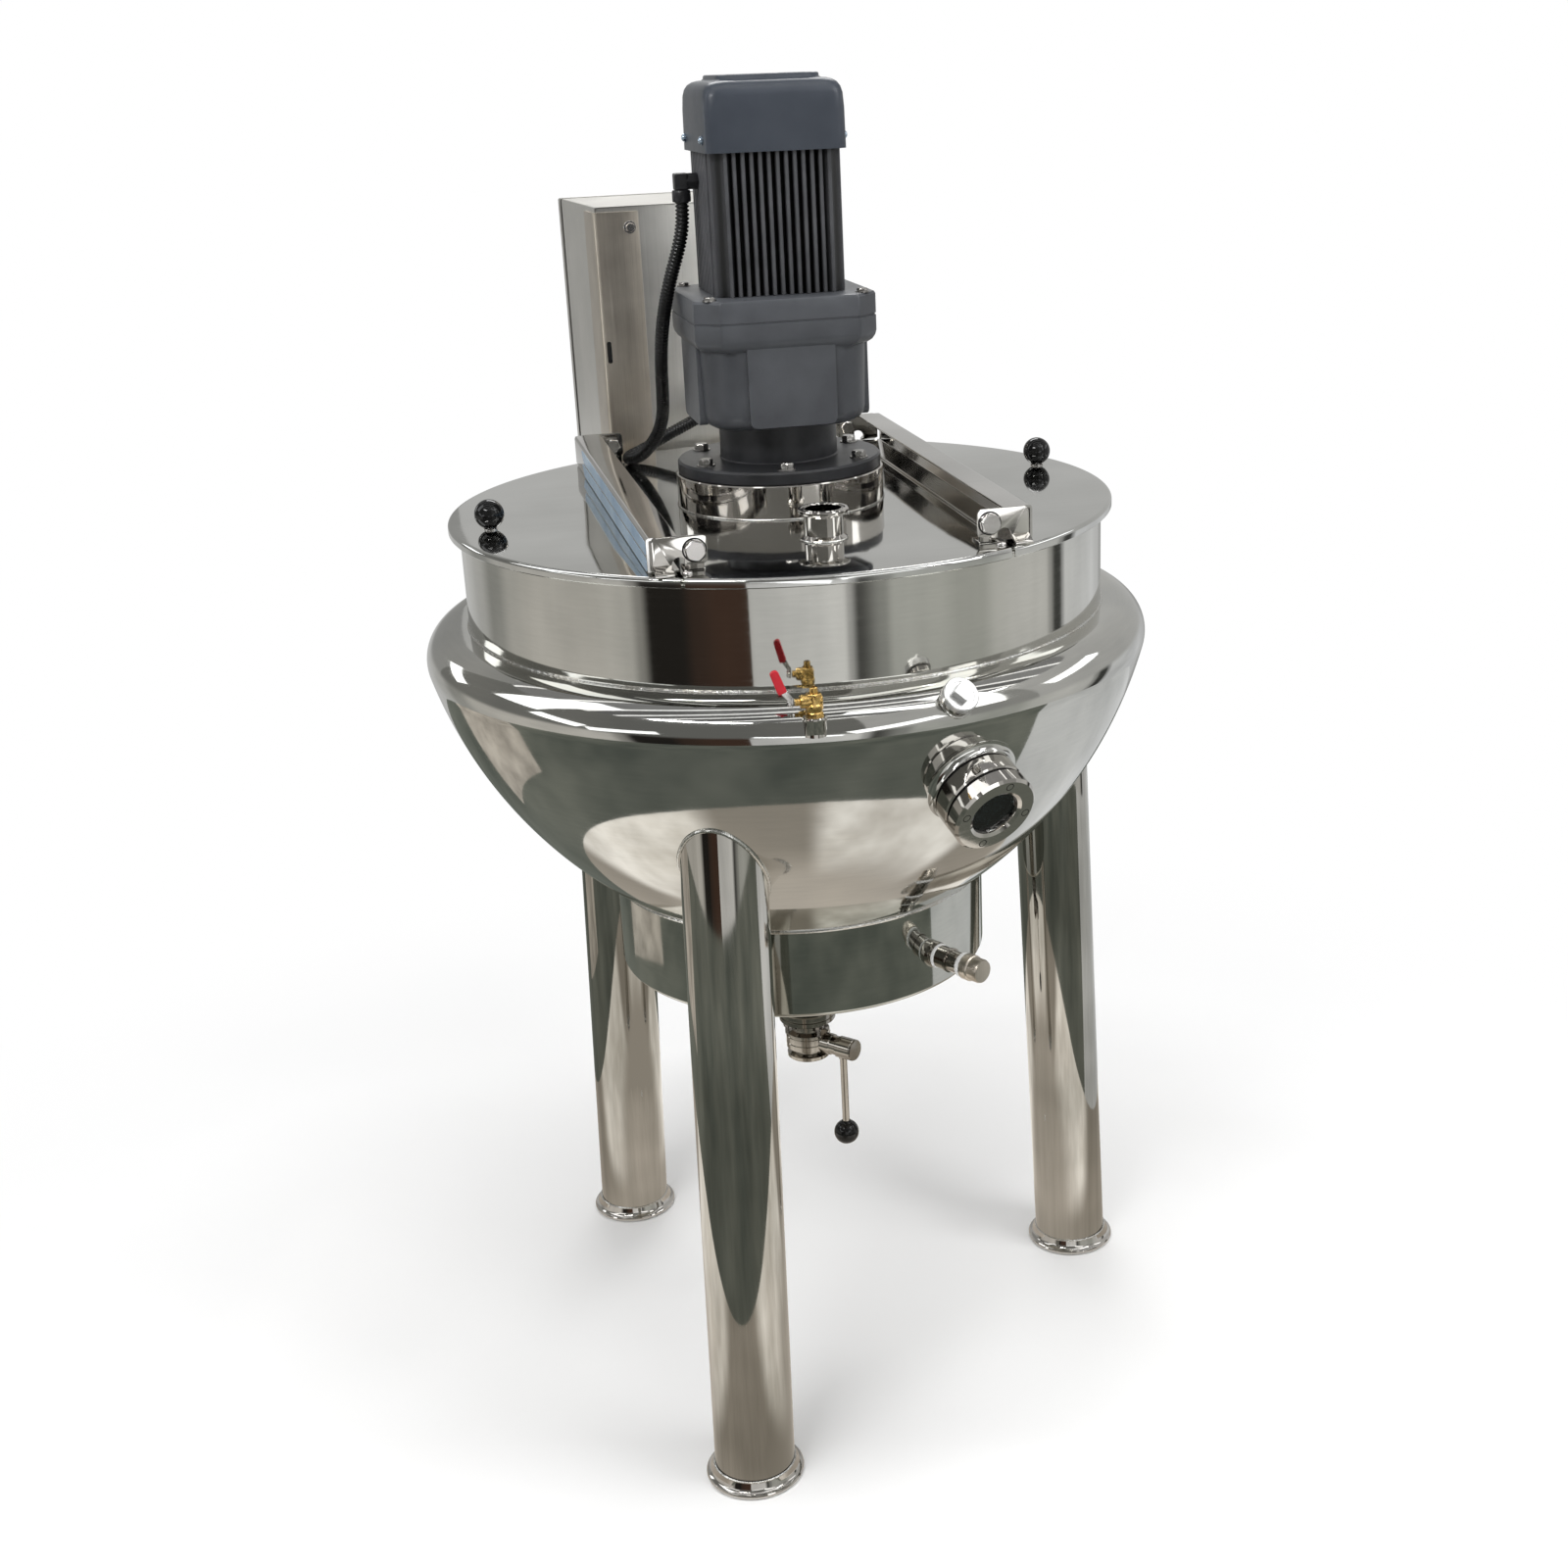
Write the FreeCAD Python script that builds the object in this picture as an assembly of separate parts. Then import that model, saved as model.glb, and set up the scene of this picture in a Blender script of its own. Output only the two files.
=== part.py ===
import FreeCAD, Part
import math
import os

os.makedirs("parts", exist_ok=True)

Vec = FreeCAD.Vector
UP = Vec(0, 0, 1)
DOWN = Vec(0, 0, -1)

# Overall height above the floor, the kettle's own radius and its lid's edge
lid_top = 1313.0
lid_plate = 3.0
lid_lip_depth = 13.0
lid_lip_round = 5.0
rim_width = 7.0
rim_depth = 23.0
lip_clearance = 5.0
seat_gap = 0.3
shell_radius = 450.0
shell_wall = 3.0
pot_wall_height = 159.7
pot_wall_parts = 8
pot_bowl_parts = 8
pot_bowl_turn = 45.0
outlet_bore = 24.0

# Jacket: shoulder knuckle, bowl and drum
jacket_wall = 3.0
shoulder_drop = 147.0
shoulder_flat = 18.0
knuckle_radius = 45.0
knuckle_sweep = 17.0
bowl_mid_inset = 6.0
bowl_mid_drop = 216.0
drum_inset = 176.0
drum_below_pot = 69.0
drum_height = 133.0
drum_plate = 4.0

# Three splayed legs on clamp-ring feet
stand_turn = 4.8
leg_count = 3
leg_radius = 57.0
leg_wall = 3.0
leg_splay = 2.2
leg_top_rise = 50.0
feet_inset = 4.0
foot_rim = 12.5
foot_disc = 8.0
foot_edge_round = 2.6
foot_flare = 12.0
foot_collar_rim = 1.0

# Lid: bridge, half-moon flaps, channels, hinge brackets and lugs
flap_seam = 209.5
flap_gap = 5.0
shaft_clearance = 10.0
channel_width = 39.0
channel_height = 45.0
channel_wall = 3.0
channel_edge_margin = 14.6
bracket_plate = 4.0
bracket_inner_reach = 16.0
bracket_outer_inset = 8.0
bracket_drop = 8.0
bracket_corner = 8.0
bracket_foot_width = 30.0
pivot_inset = 21.5
pivot_rise = 27.0
pivot_bolt = 6.0
pivot_clearance = 0.3
bolt_head_flats = 24.0
bolt_head = 9.0
lug_width = 24.0
lug_plate = 5.0
lug_gap = 1.0
lug_corner = 11.0
knob_radius = 20.0
knob_inset = 55.0
knob_left_y = -40.0
knob_right_y = 85.0
knob_neck = 7.0
knob_lift = 1.0

# Pedestal, gearmotor and agitator
pedestal_radius = 145.0
pedestal_height = 46.0
pedestal_wall = 16.0
flange_inset = 3.0
flange_height = 18.0
neck_radius = 83.0
neck_height = 50.0
gear_body_inset = 6.0
gear_body_round = 58.0
gear_body_height = 118.0
gear_edge_round = 14.0
gear_cover_width = 248.0
gear_cover_height = 58.0
gear_cover_round = 52.0
motor_width = 178.0
motor_height = 184.0
motor_corner = 20.0
fin_count = 12
fin_slot = 6.0
fin_depth = 14.0
fan_overhang = 5.0
fan_height = 68.0
fan_round = 30.0
fan_dome = 27.0
fan_dome_round = 26.0
agitator_shaft = 20.0
agitator_gap = 28.0
agitator_bar = 30.0
agitator_plate = 8.0
agitator_arm_rise = 30.0

# Fittings on the lid, shoulder, bowl and drum
ferrule_tube = 25.5
ferrule_bore = 23.8
ferrule_flange = 33.5
ferrule_lip = 6.0
ferrule_height = 40.0
ferrule_gap = 88.5
ferrule_collar = 29.0
ferrule_collar_height = 4.0
cock_angle = -98.3
cock_turn = 32.4
cock_boss = 13.0
cock_boss_height = 37.0
cock_sink = 19.1
cock_nut_flats = 20.0
cock_nut_height = 14.0
cock_barrel = 8.0
cock_barrel_left = 24.0
cock_barrel_right = 10.0
cock_nipple = 5.0
cock_nipple_height = 14.0
cock_barrel_rise = 7.0
lever_hub = 7.0
lever_plate = 4.0
lever_width = 12.0
lever_length = 30.0
lever_gap = 0.3
plug_angle = -77.6
plug_turn = 36.7
plug_lean = 40.0
plug_boss = 19.0
plug_boss_length = 30.0
plug_sink = 21.2
plug_cap = 21.0
plug_cap_height = 10.0
plug_square = 17.0
plug_square_height = 9.0
sight_angle = -73.7
sight_out = 36.0
sight_up = 74.0
sight_lean = -25.0
sight_flange = 58.0
sight_neck = 45.0
sight_window = 32.0
sight_pane = 10.0
sight_sink = 30.0
sight_inner_start = 24.0
sight_inner_ring = 16.0
sight_ring_gap = 4.0
sight_outer_ring = 18.0
sight_bore_reach = 40.0
drain_angle = -59.0
drain_rise = 56.0
drain_length = 95.0
drain_bore_radius = 11.0
drain_coupling = 19.0
drain_coupling_length = 30.0
drain_pipe = 13.0
drain_cap = 18.0
drain_cap_length = 20.0
drain_sink = 4.0

# Outlet valve below the drum
pipe_wall = 1.5
pipe_length = 116.0
valve_flange = 43.5
valve_height = 18.0
valve_neck = 19.0
valve_body_radius = 30.0
valve_body_height = 32.0
valve_tail = 11.0
spindle_angle = -48.0
spindle_radius = 8.0
spindle_rise = 15.0
spindle_reach = 58.0
handle_rod = 5.5
handle_rod_inset = 7.0
handle_head = 12.0
handle_head_length = 30.0
handle_drop = 147.0
handle_ball = 19.5
handle_clearance = 0.3

# Control box on two angle posts behind the kettle
box_width = 264.0
box_depth = 300.0
box_rise = 377.0
box_height = 480.0
box_gap = 39.0
box_wall = 2.0
box_door = 18.0
door_wall = 1.5
hinge_barrel = 4.0
hinge_leaf = 2.0
hinge_leaf_reach = 15.0
hinge_half_length = 25.0
hinge_level = 115.0
hinge_play = 0.5
hinge_clearance = 0.2
post_leg = 68.0
post_wall = 4.0
post_top_drop = 8.0
post_foot_drop = 40.0
tie_gap = 5.7
tie_height = 46.0
tie_width = 40.0
tie_inset = 10.0

# Black corrugated conduit from the motor to the control box
cord_radius = 9.5
gland_drop = 65.0
motor_gland_gap = 23.0
motor_gland_y = 18.0
motor_gland_nose = 12.5
motor_gland_nose_length = 15.0
motor_gland_block = 22.0
box_gland_x = 20.0
box_gland_rise = 162.0
box_gland_radius = 13.5
box_gland_length = 25.0
cord_route = [
    (-112.0, 18.0, 1700.0),
    (-117.0, 24.0, 1668.0),
    (-130.0, 38.0, 1625.0),
    (-139.0, 56.0, 1582.0),
    (-143.0, 80.0, 1538.0),
    (-142.0, 110.0, 1494.0),
    (-137.0, 148.0, 1451.0),
    (-132.0, 192.0, 1412.0),
    (-134.0, 238.0, 1378.0),
    (-143.0, 276.0, 1352.0),
    (-154.0, 305.0, 1333.0),
    (-166.0, 331.0, 1324.5),
    (-169.5, 347.5, 1323.0),
    (-164.0, 362.5, 1323.5),
    (-152.0, 372.5, 1326.0),
    (-128.0, 384.0, 1334.0),
    (-100.0, 394.0, 1346.0),
    (-70.0, 404.0, 1357.0),
    (-44.0, 417.0, 1366.0),
    (-26.0, 435.0, 1371.0),
    (-18.4, 458.9, 1372.0),
]
arc_share = 0.45

rim_radius = shell_radius + rim_width
lip_inner = rim_radius + lip_clearance
lid_radius = lip_inner + lid_plate
bridge_level = lid_top - lid_plate
lip_bottom = lid_top - lid_lip_depth
rim_top = bridge_level - seat_gap
rim_low = rim_top - rim_depth
shell_inner = shell_radius - shell_wall
pot_bowl_level = rim_top - pot_wall_height
shoulder_level = lid_top - shoulder_drop
knuckle_centre = (shell_radius + shoulder_flat, shoulder_level - knuckle_radius)
bowl_mid_radius = shell_radius - bowl_mid_inset
bowl_mid_level = shoulder_level - bowl_mid_drop
drum_radius = shell_radius - drum_inset
drum_bottom = pot_bowl_level - shell_radius - drum_below_pot
drum_top = drum_bottom + drum_height
feet_circle = shell_radius - feet_inset
foot_radius = leg_radius + foot_rim
foot_top = foot_disc + foot_flare

channel_inner = flap_seam - flap_gap / 2
channel_outer = channel_inner + channel_width
channel_half_length = math.sqrt(lid_radius ** 2 - channel_outer ** 2) - channel_edge_margin
pivot_x = flap_seam - pivot_inset
pivot_level = lid_top + pivot_rise
pedestal_top = lid_top + pedestal_height
flange_top = pedestal_top + flange_height
neck_top = flange_top + neck_height
gear_body_top = neck_top + gear_body_height
cover_top = gear_body_top + gear_cover_height
motor_top = cover_top + motor_height
ferrule_y = -(pedestal_radius + ferrule_gap + ferrule_flange)

sight_outer_start = sight_inner_start + sight_inner_ring + sight_ring_gap
sight_end = sight_outer_start + sight_outer_ring
pipe_radius = outlet_bore + pipe_wall
valve_top = drum_bottom - pipe_length
valve_bottom = valve_top - valve_height
valve_body_top = valve_bottom - valve_neck
valve_body_bottom = valve_body_top - valve_body_height
outlet_end = valve_body_bottom - valve_tail
spindle_level = valve_body_bottom + spindle_rise

box_front = lid_radius + box_gap + post_wall
box_top = lid_top + box_rise
box_bottom = box_top - box_height
box_back = box_front + box_depth - box_door
gland_level = motor_top - gland_drop
motor_gland_x = -(motor_width / 2 + motor_gland_gap)
box_gland_level = box_bottom + box_gland_rise


def polar(radius, angle, level=0.0):
    turn = math.radians(angle)
    return Vec(radius * math.cos(turn), radius * math.sin(turn), level)


def tube(outer, inner, height, base, axis=UP):
    return Part.makeCylinder(outer, height, base, axis).cut(
        Part.makeCylinder(inner, height, base, axis)
    )


def plate(x0, x1, y0, y1, z0, z1):
    return Part.makeBox(x1 - x0, y1 - y0, z1 - z0, Vec(x0, y0, z0))


def turned(shape, angle):
    shape = shape.copy()
    shape.rotate(Vec(0, 0, 0), UP, angle)
    return shape


def round_edges(shape, radius, wanted):
    edges = [e for e in shape.Edges if wanted(e)]
    return shape.makeFillet(radius, edges)


def is_upright(edge):
    a, b = edge.Vertexes[0].Point, edge.Vertexes[-1].Point
    return abs(a.x - b.x) < 1e-6 and abs(a.y - b.y) < 1e-6 and abs(a.z - b.z) > 1


def rounded_block(width, depth, height, corner, base):
    block = Part.makeBox(width, depth, height, base - Vec(width / 2, depth / 2, 0))
    return round_edges(block, corner, is_upright)


def hexagon(flats, height, base, axis):
    """Hexagonal prism along axis, with its flats measured across."""
    far = flats / math.sqrt(3)
    ring = [polar(far, 60 * i) for i in range(6)]
    nut = Part.Face(Part.makePolygon(ring + [ring[0]])).extrude(Vec(0, 0, height))
    nut.Placement = FreeCAD.Placement(base, FreeCAD.Rotation(UP, axis))
    return nut


def sector(edges, start, sweep):
    """Solid turned about the kettle's axis from a closed outline in the XZ plane."""
    face = Part.Face(Part.Wire(Part.sortEdges(edges)[0]))
    solid = face.revolve(Vec(0, 0, 0), UP, sweep)
    solid.rotate(Vec(0, 0, 0), UP, start)
    return solid


def line(a, b):
    return Part.LineSegment(Vec(a[0], 0, a[1]), Vec(b[0], 0, b[1])).toShape()


def arc(a, mid, b):
    points = [Vec(p[0], 0, p[1]) for p in (a, mid, b)]
    return Part.Arc(*points).toShape()


def on_knuckle(turn, offset=0.0):
    """Point of the shoulder's knuckle, turn degrees up from level, offset inwards."""
    angle = math.radians(turn)
    radius = knuckle_radius - offset
    return (
        knuckle_centre[0] + radius * math.cos(angle),
        knuckle_centre[1] + radius * math.sin(angle),
    )


def moved_inwards(point, others, offset):
    """Point moved towards the centre of the circle through it and two others."""
    flat = [Vec(p[0], p[1], 0) for p in (others[0], point, others[1])]
    centre = Part.Arc(*flat).toShape().Curve.Center
    inward = (centre - flat[1]).normalize() * offset
    return (point[0] + inward.x, point[1] + inward.y)


def jacket_curve(offset):
    """Outer or inner line of the jacket, from the shell down to the drum."""
    outside = (on_knuckle(-knuckle_sweep), (drum_radius, drum_top))
    mid = moved_inwards((bowl_mid_radius, bowl_mid_level), outside, offset)
    top = (shell_radius, shoulder_level - offset)
    bend = (knuckle_centre[0], shoulder_level - offset)
    knuckle_mid = on_knuckle((90 - knuckle_sweep) / 2, offset)
    knuckle_end = on_knuckle(-knuckle_sweep, offset)
    low = (drum_radius - offset, drum_top)
    return [
        line(top, bend),
        arc(bend, knuckle_mid, knuckle_end),
        arc(knuckle_end, mid, low),
    ], top, low


def jacket_solid():
    """The jacket filled solid, for trimming what is welded to it."""
    edges, top, low = jacket_curve(0)
    edges += [
        line(low, (0, low[1])),
        line((0, low[1]), (0, top[1])),
        line((0, top[1]), top),
    ]
    return sector(edges, 0, 360)


def in_bowl(radius, sweep):
    """Point of the pot's round bottom, sweep degrees down from its wall."""
    turn = math.radians(sweep)
    return (radius * math.cos(turn), pot_bowl_level - radius * math.sin(turn))


def pot_wall():
    """Straight wall of the pot with its rolled rim, in upright strips."""
    edges = [
        line((shell_inner, rim_top), (rim_radius, rim_top)),
        line((rim_radius, rim_top), (rim_radius, rim_low)),
        line((rim_radius, rim_low), (shell_radius, rim_low)),
        line((shell_radius, rim_low), (shell_radius, pot_bowl_level)),
        line((shell_radius, pot_bowl_level), (shell_inner, pot_bowl_level)),
        line((shell_inner, pot_bowl_level), (shell_inner, rim_top)),
    ]
    sweep = 360 / pot_wall_parts
    strips = [sector(edges, (i + 0.5) * sweep, sweep) for i in range(pot_wall_parts)]
    return Part.makeCompound(strips)


def pot_band(high, low):
    """Outline of the round bottom's sheet between two depths, in degrees."""
    mid = (high + low) / 2
    outer, inner = shell_radius, shell_inner
    return [
        arc(in_bowl(outer, high), in_bowl(outer, mid), in_bowl(outer, low)),
        line(in_bowl(outer, low), in_bowl(inner, low)),
        arc(in_bowl(inner, low), in_bowl(inner, mid), in_bowl(inner, high)),
        line(in_bowl(inner, high), in_bowl(outer, high)),
    ]


def pot_bowl():
    """Upper part of the pot's round bottom, in gores."""
    edges = pot_band(0, pot_bowl_turn)
    sweep = 360 / pot_bowl_parts
    gores = [sector(edges, i * sweep, sweep) for i in range(pot_bowl_parts)]
    return Part.makeCompound(gores)


def pot_bottom():
    """Lowest part of the pot, with the outlet's hole."""
    cap = sector(pot_band(pot_bowl_turn, 90), 0, 360)
    return cap.cut(Part.makeCylinder(outlet_bore, shell_radius, Vec(0, 0, pot_bowl_level - shell_radius)))


def jacket_quarter(start):
    """Quarter of the jacket: flat, knuckle and bowl, with its fittings' holes."""
    outside, outer_top, outer_low = jacket_curve(0)
    inside, inner_top, inner_low = jacket_curve(jacket_wall)
    edges = outside + [line(outer_low, inner_low)] + inside + [line(inner_top, outer_top)]
    quarter = sector(edges, start, 90)
    return quarter.cut(sight_bore())


def drum_wall():
    return tube(drum_radius, drum_radius - jacket_wall, drum_top - drum_bottom - drum_plate,
                Vec(0, 0, drum_bottom + drum_plate)).cut(drain_bore())


def drum_base():
    disc = Part.makeCylinder(drum_radius, drum_plate, Vec(0, 0, drum_bottom))
    return disc.cut(Part.makeCylinder(pipe_radius, drum_plate, Vec(0, 0, drum_bottom)))


def leg_angle(index):
    return stand_turn - 120 + index * 360 / leg_count


def leg_line(index):
    """Foot centre on the floor and the direction up the leg's axis."""
    foot = polar(feet_circle, leg_angle(index))
    lean = math.tan(math.radians(leg_splay))
    inward = polar(-lean, leg_angle(index))
    direction = (inward + UP).normalize()
    return foot, direction


def leg(index):
    """Leg tube from its foot up to the bowl, open where it is welded on."""
    foot, direction = leg_line(index)
    length = (bowl_mid_level + leg_top_rise + leg_radius) / direction.z
    ring = Part.makeCylinder(leg_radius, length, foot, direction)
    ring = ring.cut(Part.makeCylinder(leg_radius - leg_wall, length, foot, direction))
    reach = feet_circle + 2 * foot_radius
    below = plate(-reach, reach, -reach, reach, -leg_radius, foot_top)
    return ring.cut(below).cut(jacket_solid())


def foot(index):
    """Clamp-ring foot: flat disc with a flared collar under the leg."""
    base, direction = leg_line(index)
    disc = Part.makeCylinder(foot_radius, foot_disc, base)
    disc = round_edges(disc, foot_edge_round, lambda e: e.BoundBox.ZLength < 1e-6)
    flare_top = base + direction * (foot_top / direction.z)
    collar_base = base + UP * foot_disc
    wide = Part.Wire(Part.Circle(collar_base, UP, foot_radius - foot_disc).toShape())
    narrow = Part.Wire(Part.Circle(flare_top, UP, leg_radius + foot_collar_rim).toShape())
    return disc.fuse(Part.makeLoft([wide, narrow], True, True))


def feet():
    return Part.makeCompound([foot(i) for i in range(leg_count)])


def lid_disc():
    """Whole round lid with its rolled edge, before it is split."""
    r, turn = lid_radius, lid_lip_round
    centre = (r - turn, lid_top - turn)
    mid = (centre[0] + turn * math.cos(math.pi / 4), centre[1] + turn * math.sin(math.pi / 4))
    edges = [
        line((0, bridge_level), (lip_inner, bridge_level)),
        line((lip_inner, bridge_level), (lip_inner, lip_bottom)),
        line((lip_inner, lip_bottom), (r, lip_bottom)),
        line((r, lip_bottom), (r, lid_top - turn)),
        arc((r, lid_top - turn), mid, (r - turn, lid_top)),
        line((r - turn, lid_top), (0, lid_top)),
        line((0, lid_top), (0, bridge_level)),
    ]
    return sector(edges, 0, 360)


def lid_bridge():
    """Fixed middle strip of the lid, with the holes for shaft and ferrule."""
    half = flap_seam - flap_gap / 2
    strip = lid_disc().common(
        plate(-half, half, -lid_radius, lid_radius, lip_bottom, lid_top)
    )
    hole = agitator_shaft + shaft_clearance
    strip = strip.cut(Part.makeCylinder(hole, lid_plate, Vec(0, 0, bridge_level)))
    mouth = Vec(0, ferrule_y, bridge_level)
    return strip.cut(Part.makeCylinder(ferrule_bore, lid_plate, mouth))


def flap(side):
    """Half-moon flap. side is -1 on the left and 1 on the right."""
    near = flap_seam + flap_gap / 2
    x0, x1 = sorted((side * near, side * lid_radius))
    return lid_disc().common(plate(x0, x1, -lid_radius, lid_radius, lip_bottom, lid_top))


def channel(side):
    """C-channel along the flap's straight edge, open towards the middle."""
    outer, inner = side * channel_outer, side * channel_inner
    x0, x1 = sorted((outer, inner))
    half = channel_half_length
    bar = plate(x0, x1, -half, half, lid_top, lid_top + channel_height)
    h0, h1 = sorted((side * (channel_outer - channel_wall), inner - side * channel_wall))
    low, high = lid_top + channel_wall, lid_top + channel_height - channel_wall
    return bar.cut(plate(h0, h1, -half, half, low, high))


def bracket(side, end):
    """Hinge bracket across one end of a channel, with its foot on the flap's edge."""
    near = end * channel_half_length
    y0, y1 = sorted((near, near + end * bracket_plate))
    outer = channel_outer - bracket_outer_inset
    x0, x1 = sorted((side * (pivot_x - bracket_inner_reach), side * outer))
    low = lid_top + bracket_drop
    high = lid_top + channel_height
    face = plate(x0, x1, y0, y1, low, high)
    face = round_edges(face, bracket_corner, lambda e: is_along_y(e) and top_of(e, high))
    f0, f1 = sorted((side * (outer - bracket_foot_width), side * outer))
    foot_plate = plate(f0, f1, y0, y1, lid_top, low)
    hole = Part.makeCylinder(
        pivot_bolt + pivot_clearance,
        bracket_plate,
        Vec(side * pivot_x, y0, pivot_level),
        Vec(0, 1, 0),
    )
    return face.fuse(foot_plate).cut(hole).removeSplitter()


def is_along_y(edge):
    box = edge.BoundBox
    return box.XLength < 1e-6 and box.ZLength < 1e-6 and box.YLength > 1


def top_of(edge, level):
    return abs(edge.BoundBox.ZMax - level) < 1e-6


def brackets(side):
    return Part.makeCompound([bracket(side, end) for end in (-1, 1)])


def hinge_lug(side, end):
    """Lug on the bridge with the pivot bolt that carries a bracket."""
    inside = channel_half_length - lug_gap
    y0, y1 = sorted((end * inside, end * (inside - lug_plate)))
    x0, x1 = sorted((side * (pivot_x - lug_width / 2), side * (pivot_x + lug_width / 2)))
    lug = plate(x0, x1, y0, y1, lid_top, pivot_level + lug_width / 2)
    lug = round_edges(
        lug,
        lug_corner,
        lambda e: is_along_y(e) and top_of(e, pivot_level + lug_width / 2),
    )
    axis = Vec(0, end, 0)
    start = Vec(side * pivot_x, end * (inside - lug_plate / 2), pivot_level)
    shank = lug_plate / 2 + lug_gap + bracket_plate + lug_gap
    bolt = Part.makeCylinder(pivot_bolt, shank, start, axis)
    head = hexagon(bolt_head_flats, bolt_head, start + axis * shank, axis)
    return lug.fuse(bolt).fuse(head)


def hinge_lugs():
    return Part.makeCompound([hinge_lug(s, e) for s in (-1, 1) for e in (-1, 1)])


def knob(side):
    """Ball knob sitting on its short neck on the flap."""
    y = knob_left_y if side < 0 else knob_right_y
    base = Vec(side * (lid_radius - knob_inset), y, lid_top)
    neck = Part.makeCylinder(knob_neck, knob_radius, base)
    ball = Part.makeSphere(knob_radius, base + UP * (knob_radius + knob_lift))
    return neck.fuse(ball)


def pedestal_ring():
    return tube(pedestal_radius, pedestal_radius - pedestal_wall, pedestal_height,
                Vec(0, 0, lid_top))


def gearbox():
    """Cast gearbox: mounting flange, neck, body and top cover in one casting."""
    flange = Part.makeCylinder(pedestal_radius - flange_inset, flange_height,
                               Vec(0, 0, pedestal_top))
    neck = Part.makeCylinder(neck_radius, neck_height, Vec(0, 0, flange_top))
    width = gear_cover_width - 2 * gear_body_inset
    body = rounded_block(width, width, gear_body_height,
                         gear_body_round, Vec(0, 0, neck_top))
    body = round_edges(body, gear_edge_round, lambda e: e.BoundBox.ZMax < neck_top + 1)
    cover = rounded_block(gear_cover_width, gear_cover_width, gear_cover_height,
                          gear_cover_round, Vec(0, 0, gear_body_top))
    return flange.fuse([neck, body, cover])


def motor():
    """Square motor body with upright cooling fins on its four sides."""
    width = motor_width
    body = Part.makeBox(width, width, motor_height, Vec(-width / 2, -width / 2, cover_top))
    corners = [e for e in body.Edges if is_upright(e)]
    body = body.makeChamfer(motor_corner, corners)
    slots = []
    pitch = (width - 2 * motor_corner) / fin_count
    for i in range(fin_count):
        x = (i - (fin_count - 1) / 2) * pitch
        slot = plate(x - fin_slot / 2, x + fin_slot / 2, -width / 2, fin_depth - width / 2,
                     cover_top, motor_top)
        slots += [turned(slot, 90 * side) for side in range(4)]
    return body.cut(Part.makeCompound(slots))


def fan_cover():
    """Sheet fan hood with rounded corners and a shallow dome."""
    width = motor_width + 2 * fan_overhang
    rise = fan_height + fan_dome
    hood = rounded_block(width, width, rise, fan_round, Vec(0, 0, motor_top))
    lift = motor_top + fan_height
    return hood.makeFillet(fan_dome_round, [e for e in hood.Edges if e.BoundBox.ZMin > lift])


def motor_gland():
    """Black elbow gland on the motor's left side, pointing down."""
    low = gland_level + motor_gland_nose_length
    block = plate(motor_gland_x - cord_radius, -motor_width / 2, motor_gland_y - cord_radius,
                  motor_gland_y + cord_radius, low, low + motor_gland_block)
    nose = Part.makeCylinder(motor_gland_nose, motor_gland_nose_length, cord_exit())
    return block.fuse(nose)


def box_gland():
    """Straight gland on the front of the control box."""
    base = Vec(box_gland_x, box_front - box_gland_length, box_gland_level)
    nut = Part.makeCylinder(box_gland_radius, box_gland_length, base, Vec(0, 1, 0))
    return turned(nut, stand_turn)


def cord_exit():
    """Start of the conduit under the motor gland."""
    return Vec(motor_gland_x, motor_gland_y, gland_level)


def cord_entry():
    """End of the conduit at the face of the control box gland."""
    entry = Vec(box_gland_x, box_front - box_gland_length, box_gland_level)
    return FreeCAD.Rotation(UP, stand_turn).multVec(entry)


def bent_path(points):
    """Straight runs joined by tangent arcs, each as large as its runs allow."""
    edges, radii, start = [], [], points[0]
    for before, here, after in zip(points, points[1:], points[2:]):
        back, ahead = (before - here), (after - here)
        cut = arc_share * min(back.Length, ahead.Length)
        into, out = here + back.normalize() * cut, here + ahead.normalize() * cut
        half_turn = (math.pi - back.getAngle(ahead)) / 2
        radius = cut / math.tan(half_turn)
        radii.append(radius)
        inward = (back + ahead).normalize()
        middle = here + inward * (radius / math.cos(half_turn) - radius)
        edges.append(Part.LineSegment(start, into).toShape())
        edges.append(Part.Arc(into, middle, out).toShape())
        start = out
    edges.append(Part.LineSegment(start, points[-1]).toShape())
    return Part.Wire(edges), radii


def conduit():
    points = [cord_exit()] + [Vec(*p) for p in cord_route] + [cord_entry()]
    path, radii = bent_path(points)
    section = Part.Circle(points[0], points[1] - points[0], cord_radius).toShape()
    swept = path.makePipeShell([Part.Wire(section)], True, False)
    expected = math.pi * cord_radius ** 2 * path.Length
    print("conduit radii", [round(r) for r in radii])
    print("conduit length", round(path.Length, 1), "volume ratio", round(swept.Volume / expected, 4))
    return swept


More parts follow.
